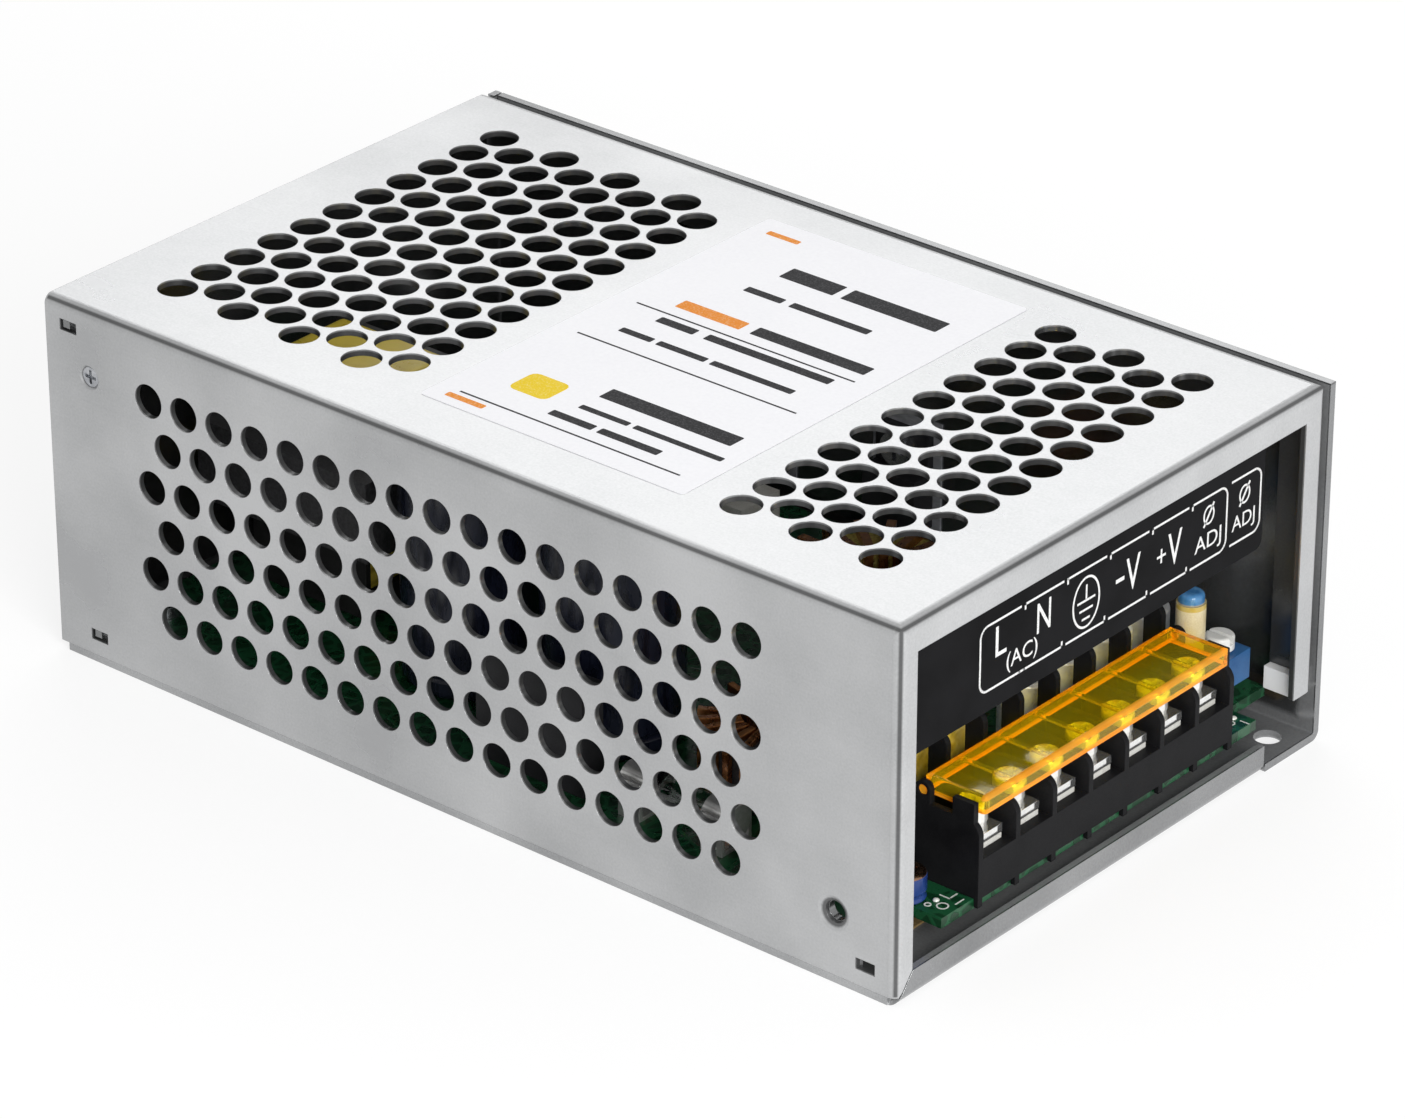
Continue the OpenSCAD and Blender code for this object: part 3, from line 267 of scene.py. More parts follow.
# Plated and turned metal; clamp_steel is the brighter plating of the clamp plates
plated = {
    "zinc_steel": {"dark": (0.26, 0.27, 0.29), "light": (0.48, 0.49, 0.51),
                   "rough": (0.16, 0.30), "metal": 0.9, "grain": 0.5 * mm},
    "nickel_steel": {"dark": (0.80, 0.80, 0.78), "light": (0.96, 0.96, 0.94),
                     "rough": (0.06, 0.16), "metal": 0.6, "grain": 0.6 * mm},
    "tinned_brass": {"dark": (0.82, 0.80, 0.74), "light": (0.95, 0.94, 0.89),
                     "rough": (0.20, 0.36), "metal": 0.2, "grain": 0.6 * mm},
    "fuse_metal": {"dark": (0.62, 0.62, 0.60), "light": (0.80, 0.80, 0.78),
                   "rough": (0.16, 0.30), "metal": 0.7, "grain": 0.6 * mm},
    "brass": {"dark": (0.58, 0.44, 0.18), "light": (0.80, 0.64, 0.32),
              "rough": (0.20, 0.34), "metal": 0.8, "grain": 0.4 * mm},
    "can_silver": {"dark": (0.70, 0.71, 0.72), "light": (0.90, 0.91, 0.92),
                   "rough": (0.24, 0.40), "metal": 0.2, "grain": 0.9 * mm},
    "clamp_steel": {"dark": (0.78, 0.78, 0.77), "light": (0.94, 0.94, 0.93),
                    "rough": (0.05, 0.12), "metal": 0.92, "grain": 0.6 * mm},
}
plating = {
    "grain detail": 4.0, "dull": 4 * mm, "dull share": 0.5, "places": (0.35, 0.62),
    "bump": (0.02 * mm, 0.2), "edge": 0.12 * mm,
}


def platedMetal(slot):
    tone = plated[slot]
    finish = newFinish(slot, {"Metallic": tone["metal"]})
    grain = cloud(finish, tone["grain"], plating["grain detail"])
    dull = cloud(finish, plating["dull"])
    mottle = blend(finish, grain, dull, plating["dull share"])
    paint(finish, darkToLight(finish, mottle, tone, plating["places"]))
    polish(finish, dull, tone["rough"])
    relief(finish, grain, plating["bump"], plating["edge"])
    return finish


platedFinish = {slot: platedMetal(slot) for slot in plated}
for slot, finish in platedFinish.items():
    dress(slot, finish)
for node in parts:
    if node.startswith("terminal_clamp"):
        dressNode(node, platedFinish["clamp_steel"])
print("plated metal dressed")


# Moulded plastic: fine spark-eroded texture and a slow change of tone
moulded = {
    "block_black": {"dark": (0.006, 0.006, 0.007), "light": (0.014, 0.014, 0.015),
                    "rough": (0.34, 0.48), "edge": 0.18 * mm, "shine": 0.06},
    "bobbin_black": {"dark": (0.012, 0.012, 0.012), "light": (0.03, 0.03, 0.03),
                     "rough": (0.42, 0.58), "edge": 0.15 * mm, "shine": 0.4},
    "epoxy_black": {"dark": (0.014, 0.014, 0.016), "light": (0.032, 0.032, 0.036),
                    "rough": (0.45, 0.62), "edge": 0.1 * mm, "shine": 0.4},
    "trim_blue": {"dark": (0.02, 0.09, 0.25), "light": (0.05, 0.17, 0.38),
                  "rough": (0.28, 0.40), "edge": 0.15 * mm, "shine": 0.4},
    "trim_white": {"dark": (0.76, 0.76, 0.73), "light": (0.90, 0.90, 0.88),
                   "rough": (0.28, 0.42), "edge": 0.1 * mm, "shine": 0.4},
    "spacer_beige": {"dark": (0.62, 0.52, 0.30), "light": (0.82, 0.74, 0.54),
                     "rough": (0.34, 0.50), "edge": 0.1 * mm, "shine": 0.4},
    "cement_white": {"dark": (0.66, 0.64, 0.58), "light": (0.84, 0.83, 0.78),
                     "rough": (0.70, 0.85), "edge": 0.2 * mm, "shine": 0.4},
    "guard_white": {"dark": (0.93, 0.93, 0.92), "light": (0.97, 0.97, 0.96),
                    "rough": (0.36, 0.50), "edge": 0.15 * mm, "shine": 0.4},
}
moulding = {
    "bend": 1.5, "grain": 0.18 * mm, "grain detail": 2.0, "slow": 6 * mm, "grain share": 0.4,
    "places": (0.36, 0.64), "bump": (0.02 * mm, 0.3),
}


def mouldedPlastic(slot):
    tone = moulded[slot]
    finish = newFinish(slot, {"IOR": moulding["bend"], "Specular IOR Level": tone["shine"]})
    grain = cloud(finish, moulding["grain"], moulding["grain detail"])
    slow = cloud(finish, moulding["slow"])
    mottle = blend(finish, slow, grain, moulding["grain share"])
    paint(finish, darkToLight(finish, mottle, tone, moulding["places"]))
    polish(finish, slow, tone["rough"])
    relief(finish, grain, moulding["bump"], tone["edge"])
    return finish


for slot in moulded:
    dress(slot, mouldedPlastic(slot))
print("moulded plastic dressed")


# Black marking plate: printed film with a slight satin
plate = {
    "dark": (0.003, 0.003, 0.0035), "light": (0.008, 0.008, 0.009), "rough": (0.34, 0.48), "bend": 1.48,
    "shine": 0.04, "grain": 0.12 * mm, "grain detail": 2.0, "slow": 9 * mm, "places": (0.35, 0.65),
    "bump": (0.01 * mm, 0.25), "edge": 0.15 * mm,
}


def printedPlate(slot):
    finish = newFinish(slot, {"IOR": plate["bend"], "Specular IOR Level": plate["shine"]})
    grain = cloud(finish, plate["grain"], plate["grain detail"])
    slow = cloud(finish, plate["slow"])
    paint(finish, darkToLight(finish, slow, plate, plate["places"]))
    polish(finish, slow, plate["rough"])
    relief(finish, grain, plate["bump"], plate["edge"])
    return finish


dress("black_plate", printedPlate("black_plate"))


# Clear amber lid: tinted all through, polished, with faint flow lines and a painted orange glow in its rims
amber = {
    "dark": (1.0, 0.77, 0.015), "light": (1.0, 0.87, 0.04), "through": 0.91,
    # the rim colours are a painted glow, and the rims are less clear
    "rim": {"dark": (1.0, 0.36, 0.01), "light": (1.0, 0.50, 0.05), "through": 0.40},
    "rim size": 0.75 * mm, "end size": 0.4 * mm, "fade": 0.12 * mm,
    "lamp tint": (1.0, 0.94, 0.34), "rough": (0.02, 0.06), "bend": 1.3,
    "flow": 5 * mm, "flow stretch": (1, 0.3, 1), "places": (0.35, 0.65), "bump": (0.05 * mm, 0.12),
}


# Lets the lamps light what lies behind a clear piece, tinted by it
def lightThrough(finish, tint):
    path = addNode(finish, "LightPath")
    passing = addNode(finish, "BsdfTransparent", {"Color": (*tint, 1)})
    choice = addNode(finish, "MixShader")
    link(finish, path.outputs["Is Shadow Ray"], choice.inputs["Fac"])
    link(finish, shaderOf(finish).outputs["BSDF"], choice.inputs[1])
    link(finish, passing.outputs["BSDF"], choice.inputs[2])
    link(finish, choice.outputs[0], finish.node_tree.nodes["Material Output"].inputs["Surface"])


# 1 along the front upper edge, both ends and the lower edge of the lid, where the painted orange glow goes;
# its top face has no rim of its own
def paintedGlowRim(finish):
    lidLow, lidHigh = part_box("terminal_lid")
    front = axisMask(finish, "X", lidHigh.x - amber["rim size"], amber["fade"])
    upper = axisMask(finish, "Z", lidHigh.z - amber["rim size"], amber["fade"])
    rim = combine(finish, "MULTIPLY", front, upper)
    for axis, low, high in (("Y", lidLow.y, lidHigh.y), ("Z", lidLow.z, cadHigh.z)):
        above = axisMask(finish, axis, low + amber["end size"], amber["fade"])
        below = axisMask(finish, axis, high - amber["end size"], amber["fade"])
        ends = invert(finish, combine(finish, "SUBTRACT", above, below))
        rim = combine(finish, "MAXIMUM", rim, ends)
    return rim


def clearAmber(slot):
    finish = newFinish(slot, {"IOR": amber["bend"]})
    flow = cloud(finish, amber["flow"], stretch=amber["flow stretch"])
    rim = paintedGlowRim(finish)
    body = darkToLight(finish, flow, amber, amber["places"])
    # painted orange glow for the rims
    glow = darkToLight(finish, flow, amber["rim"], amber["places"])
    paint(finish, mixColours(finish, rim, body, glow))
    through = spread(finish, rim, amber["through"], amber["rim"]["through"], 0, 1)
    link(finish, through, shaderOf(finish).inputs["Transmission Weight"])
    polish(finish, flow, amber["rough"])
    relief(finish, flow, amber["bump"])
    lightThrough(finish, amber["lamp tint"])
    return finish


dress("amber_clear", clearAmber("amber_clear"))


# Circuit board: green lacquer over copper tracks
lacquer = {
    "bare": (0.004, 0.040, 0.014), "track": (0.010, 0.085, 0.032), "rough": (0.22, 0.36), "bend": 1.52,
    "track size": 2.6 * mm, "track edge": (0.10, 0.13), "slow": 3 * mm, "bump": (0.04 * mm, 0.5),
    "edge": 0.1 * mm,
}


def solderMask(slot):
    finish = newFinish(slot, {"IOR": lacquer["bend"]})
    cells = addNode(finish, "TexVoronoi", {"Scale": 1 / lacquer["track size"]}, feature="DISTANCE_TO_EDGE")
    link(finish, objectPlace(finish), cells.inputs["Vector"])
    copper = spread(finish, cells.outputs["Distance"], 1, 0, *lacquer["track edge"])
    slow = cloud(finish, lacquer["slow"])
    paint(finish, tones(finish, copper, (0.0, 1.0), (lacquer["bare"], lacquer["track"])))
    polish(finish, slow, lacquer["rough"])
    relief(finish, copper, lacquer["bump"], lacquer["edge"])
    return finish


dress("board_green", solderMask("board_green"))
print("plate, lid and board dressed")


# Shrink sleeve on capacitor cans, with the bare metal end above the collar
sleeves = {
    "sleeve_blue": {"sleeve": {"dark": (0.012, 0.035, 0.16), "light": (0.02, 0.06, 0.24)},
                    "top": {"dark": (0.30, 0.17, 0.11), "light": (0.38, 0.23, 0.15)},
                    "node": "front_capacitor", "collar": 0.35 * mm},
    "sleeve_black": {"sleeve": {"dark": (0.006, 0.008, 0.016), "light": (0.016, 0.02, 0.04)},
                     "top": {"dark": (0.58, 0.59, 0.61), "light": (0.68, 0.69, 0.71)},
                     "node": "bulk_capacitor_1", "collar": 0.5 * mm},
}
shrinking = {
    "bend": 1.5, "folds": 1.6 * mm, "fold stretch": (1, 1, 0.25), "fade": 0.05 * mm, "rough": (0.18, 0.34),
    "places": (0.35, 0.65), "top places": (0.3, 0.7), "bump": (0.05 * mm, 0.25),
}


def shrinkSleeve(slot):
    tone = sleeves[slot]
    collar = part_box(tone["node"])[1].z - tone["collar"]
    finish = newFinish(slot, {"IOR": shrinking["bend"]})
    folds = cloud(finish, shrinking["folds"], stretch=shrinking["fold stretch"])
    metal = axisMask(finish, "Z", collar, shrinking["fade"])
    sleeve = darkToLight(finish, folds, tone["sleeve"], shrinking["places"])
    bare = darkToLight(finish, folds, tone["top"], shrinking["top places"])
    paint(finish, mixColours(finish, metal, sleeve, bare))
    link(finish, metal, shaderOf(finish).inputs["Metallic"])
    polish(finish, folds, shrinking["rough"])
    relief(finish, folds, shrinking["bump"])
    return finish


for slot in sleeves:
    dress(slot, shrinkSleeve(slot))


# Dipped ceramic discs: uneven coating
dipped = {
    "disc_green": {"dark": (0.010, 0.035, 0.018), "light": (0.03, 0.08, 0.045)},
    "disc_blue": {"dark": (0.02, 0.11, 0.36), "light": (0.06, 0.22, 0.55)},
}
dipping = {
    "bend": 1.5, "runs": 2.2 * mm, "run detail": 4.0, "run stretch": (1, 1, 0.5), "places": (0.34, 0.66),
    "rough": (0.28, 0.46), "bump": (0.12 * mm, 0.4),
}


def dippedCoat(slot):
    finish = newFinish(slot, {"IOR": dipping["bend"]})
    runs = cloud(finish, dipping["runs"], dipping["run detail"], dipping["run stretch"])
    paint(finish, darkToLight(finish, runs, dipped[slot], dipping["places"]))
    polish(finish, runs, dipping["rough"])
    relief(finish, runs, dipping["bump"])
    return finish


for slot in dipped:
    dress(slot, dippedCoat(slot))


# Box capacitor: yellow moulding, mottled and dusty
boxCase = {
    "colours": ((0.30, 0.20, 0.03), (0.62, 0.47, 0.07), (0.80, 0.68, 0.24)), "places": (0.34, 0.48, 0.66),
    "bend": 1.5, "mottle": 2.4 * mm, "mottle detail": 5.0, "grain": 0.3 * mm, "grain detail": 2.0,
    "rough": (0.30, 0.52), "bump": (0.03 * mm, 0.3), "edge": 0.15 * mm,
}


def mottledBox(slot):
    finish = newFinish(slot, {"IOR": boxCase["bend"]})
    mottle = cloud(finish, boxCase["mottle"], boxCase["mottle detail"])
    grain = cloud(finish, boxCase["grain"], boxCase["grain detail"])
    paint(finish, tones(finish, mottle, boxCase["places"], boxCase["colours"]))
    polish(finish, mottle, boxCase["rough"])
    relief(finish, grain, boxCase["bump"], boxCase["edge"])
    return finish


dress("box_yellow", mottledBox("box_yellow"))


# Transformer tape: overlapping wound layers; with this stretch a wave of scale 1 repeats once a metre
tape = {
    "dark": (0.50, 0.36, 0.03), "light": (0.78, 0.60, 0.07), "bend": 1.48, "layer": 2.2 * mm, "wobble": 0.6,
    "wave stretch": (0.314, 0.314, 0.314), "slow": 5 * mm, "slow share": 0.4, "places": (0.2, 0.55),
    "rough": (0.22, 0.40), "bump": (0.08 * mm, 0.5),
}


def woundTape(slot):
    finish = newFinish(slot, {"IOR": tape["bend"]})
    wave = addNode(finish, "TexWave", {"Scale": 1 / tape["layer"], "Distortion": tape["wobble"]},
                   bands_direction="Z")
    link(finish, objectPlace(finish, tape["wave stretch"]), wave.inputs["Vector"])
    layers = wave.outputs["Fac"]
    slow = cloud(finish, tape["slow"])
    mottle = blend(finish, layers, slow, tape["slow share"])
    paint(finish, darkToLight(finish, mottle, tape, tape["places"]))
    polish(finish, slow, tape["rough"])
    relief(finish, layers, tape["bump"])
    return finish


dress("tape_yellow", woundTape("tape_yellow"))


# Enamelled copper wire
enamel = {
    "dark": (0.34, 0.11, 0.03), "light": (0.62, 0.27, 0.09), "metal": 0.85, "coat": 0.6, "coat rough": 0.15,
    "varnish": 1.8 * mm, "places": (0.35, 0.65), "rough": (0.22, 0.38), "bump": (0.05 * mm, 0.2),
    "edge": 0.3 * mm,
}


def enamelWire(slot):
    coat = {"Coat Weight": enamel["coat"], "Coat Roughness": enamel["coat rough"]}
    finish = newFinish(slot, {"Metallic": enamel["metal"], **coat})
    varnish = cloud(finish, enamel["varnish"])
    paint(finish, darkToLight(finish, varnish, enamel, enamel["places"]))
    polish(finish, varnish, enamel["rough"])
    relief(finish, varnish, enamel["bump"], enamel["edge"])
    return finish


dress("copper", enamelWire("copper"))


# Sintered cores: dense grain, one bare and one lacquered
cores = {
    "ferrite": {"dark": (0.022, 0.022, 0.024), "light": (0.06, 0.06, 0.064), "rough": (0.55, 0.72)},
    "core_yellow": {"dark": (0.42, 0.33, 0.06), "light": (0.66, 0.56, 0.16), "rough": (0.40, 0.55)},
}
sintering = {
    "bend": 1.6, "grain": 0.4 * mm, "places": (0.35, 0.65), "bump": (0.04 * mm, 0.4), "edge": 0.25 * mm,
}


def sinteredCore(slot):
    finish = newFinish(slot, {"IOR": sintering["bend"]})
    grain = cloud(finish, sintering["grain"])
    paint(finish, darkToLight(finish, grain, cores[slot], sintering["places"]))
    polish(finish, grain, cores[slot]["rough"])
    relief(finish, grain, sintering["bump"], sintering["edge"])
    return finish


for slot in cores:
    dress(slot, sinteredCore(slot))


# Insulating paper and silicone pads
soft = {
    "fish_paper": {"dark": (0.30, 0.19, 0.07), "light": (0.46, 0.32, 0.14),
                   "weave": 0.5 * mm, "rough": (0.6, 0.8)},
    "pad_grey": {"dark": (0.34, 0.35, 0.38), "light": (0.48, 0.49, 0.53),
                 "weave": 0.8 * mm, "rough": (0.5, 0.66)},
}
weaving = {
    "bend": 1.45, "fibre detail": 4.0, "fibre stretch": (0.4, 1, 1), "places": (0.34, 0.66),
    "bump": (0.03 * mm, 0.4),
}


def insulator(slot):
    tone = soft[slot]
    finish = newFinish(slot, {"IOR": weaving["bend"]})
    fibre = cloud(finish, tone["weave"], weaving["fibre detail"], weaving["fibre stretch"])
    paint(finish, darkToLight(finish, fibre, tone, weaving["places"]))
    polish(finish, fibre, tone["rough"])
    relief(finish, fibre, weaving["bump"])
    return finish


for slot in soft:
    dress(slot, insulator(slot))


# Glass of the fuse, and the indicator: a blue cap over an amber foot
clear = {
    "fuse_glass": {"dark": (0.86, 0.91, 0.90), "light": (0.95, 0.98, 0.97),
                   "through": 1.0, "rough": (0.01, 0.05)},
    "lamp_blue": {"dark": (0.05, 0.22, 0.52), "light": (0.12, 0.36, 0.70),
                  "through": 0.3, "rough": (0.10, 0.22),
                  "foot": {"dark": (0.80, 0.55, 0.10), "light": (0.92, 0.72, 0.25), "height": 0.9 * mm}},
}
casting = {
    "bend": 1.5, "flow": 1.5 * mm, "flow detail": 2.0, "places": (0.35, 0.65), "foot fade": 0.2 * mm,
    "bump": (0.03 * mm, 0.15),
}


def clearLens(slot):
    tone = clear[slot]
    finish = newFinish(slot, {"IOR": casting["bend"], "Transmission Weight": tone["through"]})
    flow = cloud(finish, casting["flow"], casting["flow detail"])
    colour = darkToLight(finish, flow, tone, casting["places"])
    if "foot" in tone:
        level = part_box("indicator_spacer")[1].z + tone["foot"]["height"]
        foot = darkToLight(finish, flow, tone["foot"], casting["places"])
        colour = mixColours(finish, axisMask(finish, "Z", level, casting["foot fade"]), foot, colour)
    paint(finish, colour)
    polish(finish, flow, tone["rough"])
    relief(finish, flow, casting["bump"])
    return finish


for slot in clear:
    dress(slot, clearLens(slot))
print("inner parts dressed")


# Modelling helpers: a piece is made flat and set in place in its mesh, so its object stays at the origin
def clearChoice():
    if bpy.context.mode != "OBJECT":
        bpy.ops.object.mode_set(mode="OBJECT")
    bpy.ops.object.select_all(action="DESELECT")


def settle(piece, turn=(0, 0, 0), place=(0, 0, 0)):
    clearChoice()
    piece.select_set(True)
    bpy.context.view_layer.objects.active = piece
    piece.rotation_euler = turn
    piece.location = place
    bpy.ops.object.transform_apply(location=True, rotation=True, scale=True)
    return piece


def joinPieces(name, members):
    clearChoice()
    for member in members:
        member.select_set(True)
    bpy.context.view_layer.objects.active = members[0]
    bpy.ops.object.join()
    members[0].name = name
    members[0].data.name = name
    return members[0]


# Gives the flat faces of the piece being edited a thickness, and closes edit mode
def thicken(thick):
    bpy.ops.mesh.select_all(action="SELECT")
    bpy.ops.mesh.extrude_region_move(TRANSFORM_OT_translate={"value": (0, 0, thick)})
    bpy.ops.mesh.select_all(action="SELECT")
    bpy.ops.mesh.normals_make_consistent(inside=False)
    bpy.ops.object.mode_set(mode="OBJECT")


# A thin printed or pasted patch in the XY plane, from its rectangle, with rounded corners
def patch(name, low, high, thick, cornerRound, segments=3):
    clearChoice()
    centre = ((low[0] + high[0]) / 2, (low[1] + high[1]) / 2, 0)
    bpy.ops.mesh.primitive_plane_add(size=1, location=centre)
    piece = bpy.context.object
    piece.name = name
    piece.scale = (high[0] - low[0], high[1] - low[1], 1)
    bpy.ops.object.transform_apply(location=True, rotation=True, scale=True)
    bpy.ops.object.mode_set(mode="EDIT")
    bpy.ops.mesh.select_all(action="SELECT")
    if cornerRound:
        bpy.ops.mesh.bevel(offset=cornerRound, segments=segments, affect="VERTICES")
    thicken(thick)
    return piece


# An ellipse outline of a given line width in the XY plane
def ringMark(centre, radii, width, thick, sides=48):
    clearChoice()
    bpy.ops.mesh.primitive_circle_add(vertices=sides, radius=1, fill_type="NGON", location=(*centre, 0))
    piece = bpy.context.object
    piece.name = "ring"
    piece.scale = (*radii, 1)
    bpy.ops.object.transform_apply(location=True, rotation=True, scale=True)
    bpy.ops.object.mode_set(mode="EDIT")
    bpy.ops.mesh.select_all(action="SELECT")
    bpy.ops.mesh.inset(thickness=width, depth=0)
    bpy.ops.mesh.delete(type="FACE")
    thicken(thick)
    return piece


# A word of raised print in the XY plane, narrowed to its width
def wordMark(text, centre, height, width, thick):
    clearChoice()
    bpy.ops.object.text_add(location=(0, 0, 0))
    letters = bpy.context.object.data
    letters.body = text
    letters.align_x = "CENTER"
    letters.align_y = "CENTER"
    letters.extrude = thick / 2
    letters.resolution_u = 4
    bpy.ops.object.convert(target="MESH")
    piece = bpy.context.object
    size = piece.dimensions
    middle = sum((Vector(corner) for corner in piece.bound_box), Vector()) / len(piece.bound_box)
    piece.scale = (width / size.x, height / size.y, 1)
    shift = (centre[0] - middle.x * piece.scale.x, centre[1] - middle.y * piece.scale.y, thick / 2)
    return settle(piece, place=shift)


# Printing ink: "full" is its own colour and "worn" is what shows where it has worn thin
printing = {
    "bend": 1.45, "shine": 0.1, "grain": 0.25 * mm, "places": (0.30, 0.50), "rough spread": 0.06,
    "bump": (0.01 * mm, 0.2),
}


def ink(name, tone):
    finish = newFinish(name, {"IOR": printing["bend"], "Specular IOR Level": printing["shine"]})
    grain = cloud(finish, printing["grain"])
    paint(finish, tones(finish, grain, printing["places"], (tone["worn"], tone["full"])))
    smooth, rough = tone["rough"] - printing["rough spread"], tone["rough"] + printing["rough spread"]
    polish(finish, grain, (smooth, rough))
    relief(finish, grain, printing["bump"])
    return finish


def addPiece(piece, finish, body="case"):
    piece.data.materials.clear()
    piece.data.materials.append(finish)
    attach(piece, body)


# White paper sticker on the top of the cover, with plain ruled print
sticker = {  # rows and rules are in mm from the edges at low X and high Y; a corner is a radius and segments
    "low": (-16 * mm, -38 * mm), "high": (32.5 * mm, 39 * mm), "thick": 0.08 * mm, "round": 0.8 * mm,
    "ink thick": 0.02 * mm, "bar corner": (0.2 * mm, 2),
    "dark rows": (  # depth, height, then start and end of each bar
        (13, 3.6, ((14, 24), (25.5, 43))),
        (21, 1.6, ((13, 20), (21.5, 36))),
        (31, 2.6, ((23, 44),)),
        (37, 1.8, ((10, 17), (19, 42))),
        (43, 1.4, ((8, 14), (15, 24), (25, 40))),
        (60, 3.2, ((20, 44),)),
        (65.5, 1.2, ((20, 29), (30, 46))),
        (69.5, 1.6, ((18, 26), (27, 38))),
    ),
    "rules": (35, 48, 73), "rule": 0.35 * mm, "rule inset": 4 * mm,
    "warm rows": ((4, 1.2, ((3, 9),)), (31, 2.6, ((9, 21),)), (74.5, 1.2, ((3, 10),))),
    "field row": (64.5, 6, ((8, 15),)), "field corner": (1.2 * mm, 3),
    "dark ink": {"full": (0.012, 0.012, 0.014), "worn": (0.045, 0.045, 0.05), "rough": 0.5},
    "warm ink": {"full": (0.80, 0.26, 0.02), "worn": (0.85, 0.45, 0.2), "rough": 0.5},
    "field ink": {"full": (0.84, 0.60, 0.01), "worn": (0.88, 0.70, 0.15), "rough": 0.5},
}
paper = {
    "dark": (0.79, 0.79, 0.82), "light": (0.87, 0.87, 0.895), "bend": 1.45, "coat": 0.25, "coat rough": 0.3,
    "fibre": 0.6 * mm, "slow": 18 * mm, "fibre share": 0.3, "places": (0.35, 0.62), "rough": (0.34, 0.5),
    "bump": (0.02 * mm, 0.2),
}


def stickerPaper():
    coat = {"Coat Weight": paper["coat"], "Coat Roughness": paper["coat rough"]}
    finish = newFinish("sticker_paper", {"IOR": paper["bend"], **coat})
    fibre = cloud(finish, paper["fibre"])
    slow = cloud(finish, paper["slow"])
    mottle = blend(finish, slow, fibre, paper["fibre share"])
    paint(finish, darkToLight(finish, mottle, paper, paper["places"]))
    polish(finish, slow, paper["rough"])
    relief(finish, fibre, paper["bump"])
    return finish


def stickerBars(name, row, corner):
    depth, height, bars = row
    left, middle = sticker["low"][0], sticker["high"][1] - depth * mm
    made = []
    for start, end in bars:
        low = (left + start * mm, middle - height / 2 * mm)
        high = (left + end * mm, middle + height / 2 * mm)
        made.append(patch(name, low, high, sticker["ink thick"], *corner))
    return made


def stickerRows(rows):
    made = []
    for row in rows:
        made += stickerBars("bar", row, sticker["bar corner"])
    return made


def stickerRules():
    left, right = sticker["low"][0] + sticker["rule inset"], sticker["high"][0] - sticker["rule inset"]
    made = []
    for depth in sticker["rules"]:
        low = sticker["high"][1] - depth * mm
        made.append(patch("rule", (left, low), (right, low + sticker["rule"]), sticker["ink thick"], 0))
    return made


def makeSticker():
    top = cadHigh.z
    base = patch("topSticker", sticker["low"], sticker["high"], sticker["thick"], sticker["round"])
    addPiece(settle(base, place=(0, 0, top)), stickerPaper())
    inkPlace = (0, 0, top + sticker["thick"])
    rows = joinPieces("stickerPrint", stickerRows(sticker["dark rows"]) + stickerRules())
    addPiece(settle(rows, place=inkPlace), ink("sticker_ink", sticker["dark ink"]))
    accents = joinPieces("stickerAccents", stickerRows(sticker["warm rows"]))
    addPiece(settle(accents, place=inkPlace), ink("sticker_orange", sticker["warm ink"]))
    field = stickerBars("stickerField", sticker["field row"], sticker["field corner"])[0]
    addPiece(settle(field, place=inkPlace), ink("sticker_yellow", sticker["field ink"]))


makeSticker()
print("sticker made")


# Terminal marks in white ink on the plate: one cell for each way, with plain functional signs
marks = {  # in mm, across from the middle of the case and up from the lower edge of the plate
    "low": 3.0, "high": 13.3, "line": 0.34, "thick": 0.02, "gap": 0.7, "tick": 1.0, "round": 1.8,
    "borders": (-30.9, -21.5, -12.1, -2.5, 7.1, 16.3, 25.2), "last": 33.2, "last gap": 0.8,
    "corner steps": 6, "corner overlap": 1.15,
    "words": (  # text, cell, shift from the middle of the cell, level, height, width
        ("L", 0, 0, 9.9, 4.6, 2.4), ("N", 1, 0, 9.7, 4.6, 3.0), ("(AC)", 0, 4.7, 5.6, 3.2, 6.8),
        ("V", 3, 1.0, 8.2, 5.2, 3.2), ("+", 4, -1.9, 8.1, 2.2, 2.0), ("V", 4, 1.2, 8.2, 5.2, 3.2),
        ("ADJ", 5, 0, 5.9, 3.2, 6.2), ("ADJ", 6, -0.1, 5.9, 3.0, 5.4),
    ),
    "earth": {"cell": 2, "up": 7.9, "radii": (3.1, 4.0), "stem": (8.4, 10.6),
              "bars": ((8.0, 2.0), (6.6, 1.5), (5.2, 0.9))},  # level and half length
    "minus": {"cell": 3, "across": (-2.9, -1.0), "up": (7.9, 8.5)},
    "dial": {"cells": (5, 6), "up": 10.2, "radii": (1.3, 1.5), "line": 0.32,
             "half tick": (0.2, 2.0), "turn": -35},
    "ink": {"full": (0.82, 0.82, 0.81), "worn": (0.5, 0.5, 0.5), "rough": 0.45},
}


def bar(low, high):
    return patch("line", (low[0] * mm, low[1] * mm), (high[0] * mm, high[1] * mm), marks["thick"] * mm, 0)


def ring(centre, radii, line):
    return ringMark((centre[0] * mm, centre[1] * mm), (radii[0] * mm, radii[1] * mm), line * mm,
                    marks["thick"] * mm)


def word(text, centre, height, width):
    return wordMark(text, (centre[0] * mm, centre[1] * mm), height * mm, width * mm, marks["thick"] * mm)


def frameCell(left, right, openLeft, openRight):
    low, high, line, gap = marks["low"], marks["high"], marks["line"], marks["gap"] / 2
    start = left + (gap if openLeft else marks["round"])
    end = right - (gap if openRight else marks["round"])
    made = [bar((start, z), (end, z + line)) for z in (low, high - line)]
    for edge, isOpen in ((left, openLeft), (right - line, openRight)):
        if not isOpen:
            made.append(bar((edge, low + marks["round"]), (edge + line, high - marks["round"])))
    return made


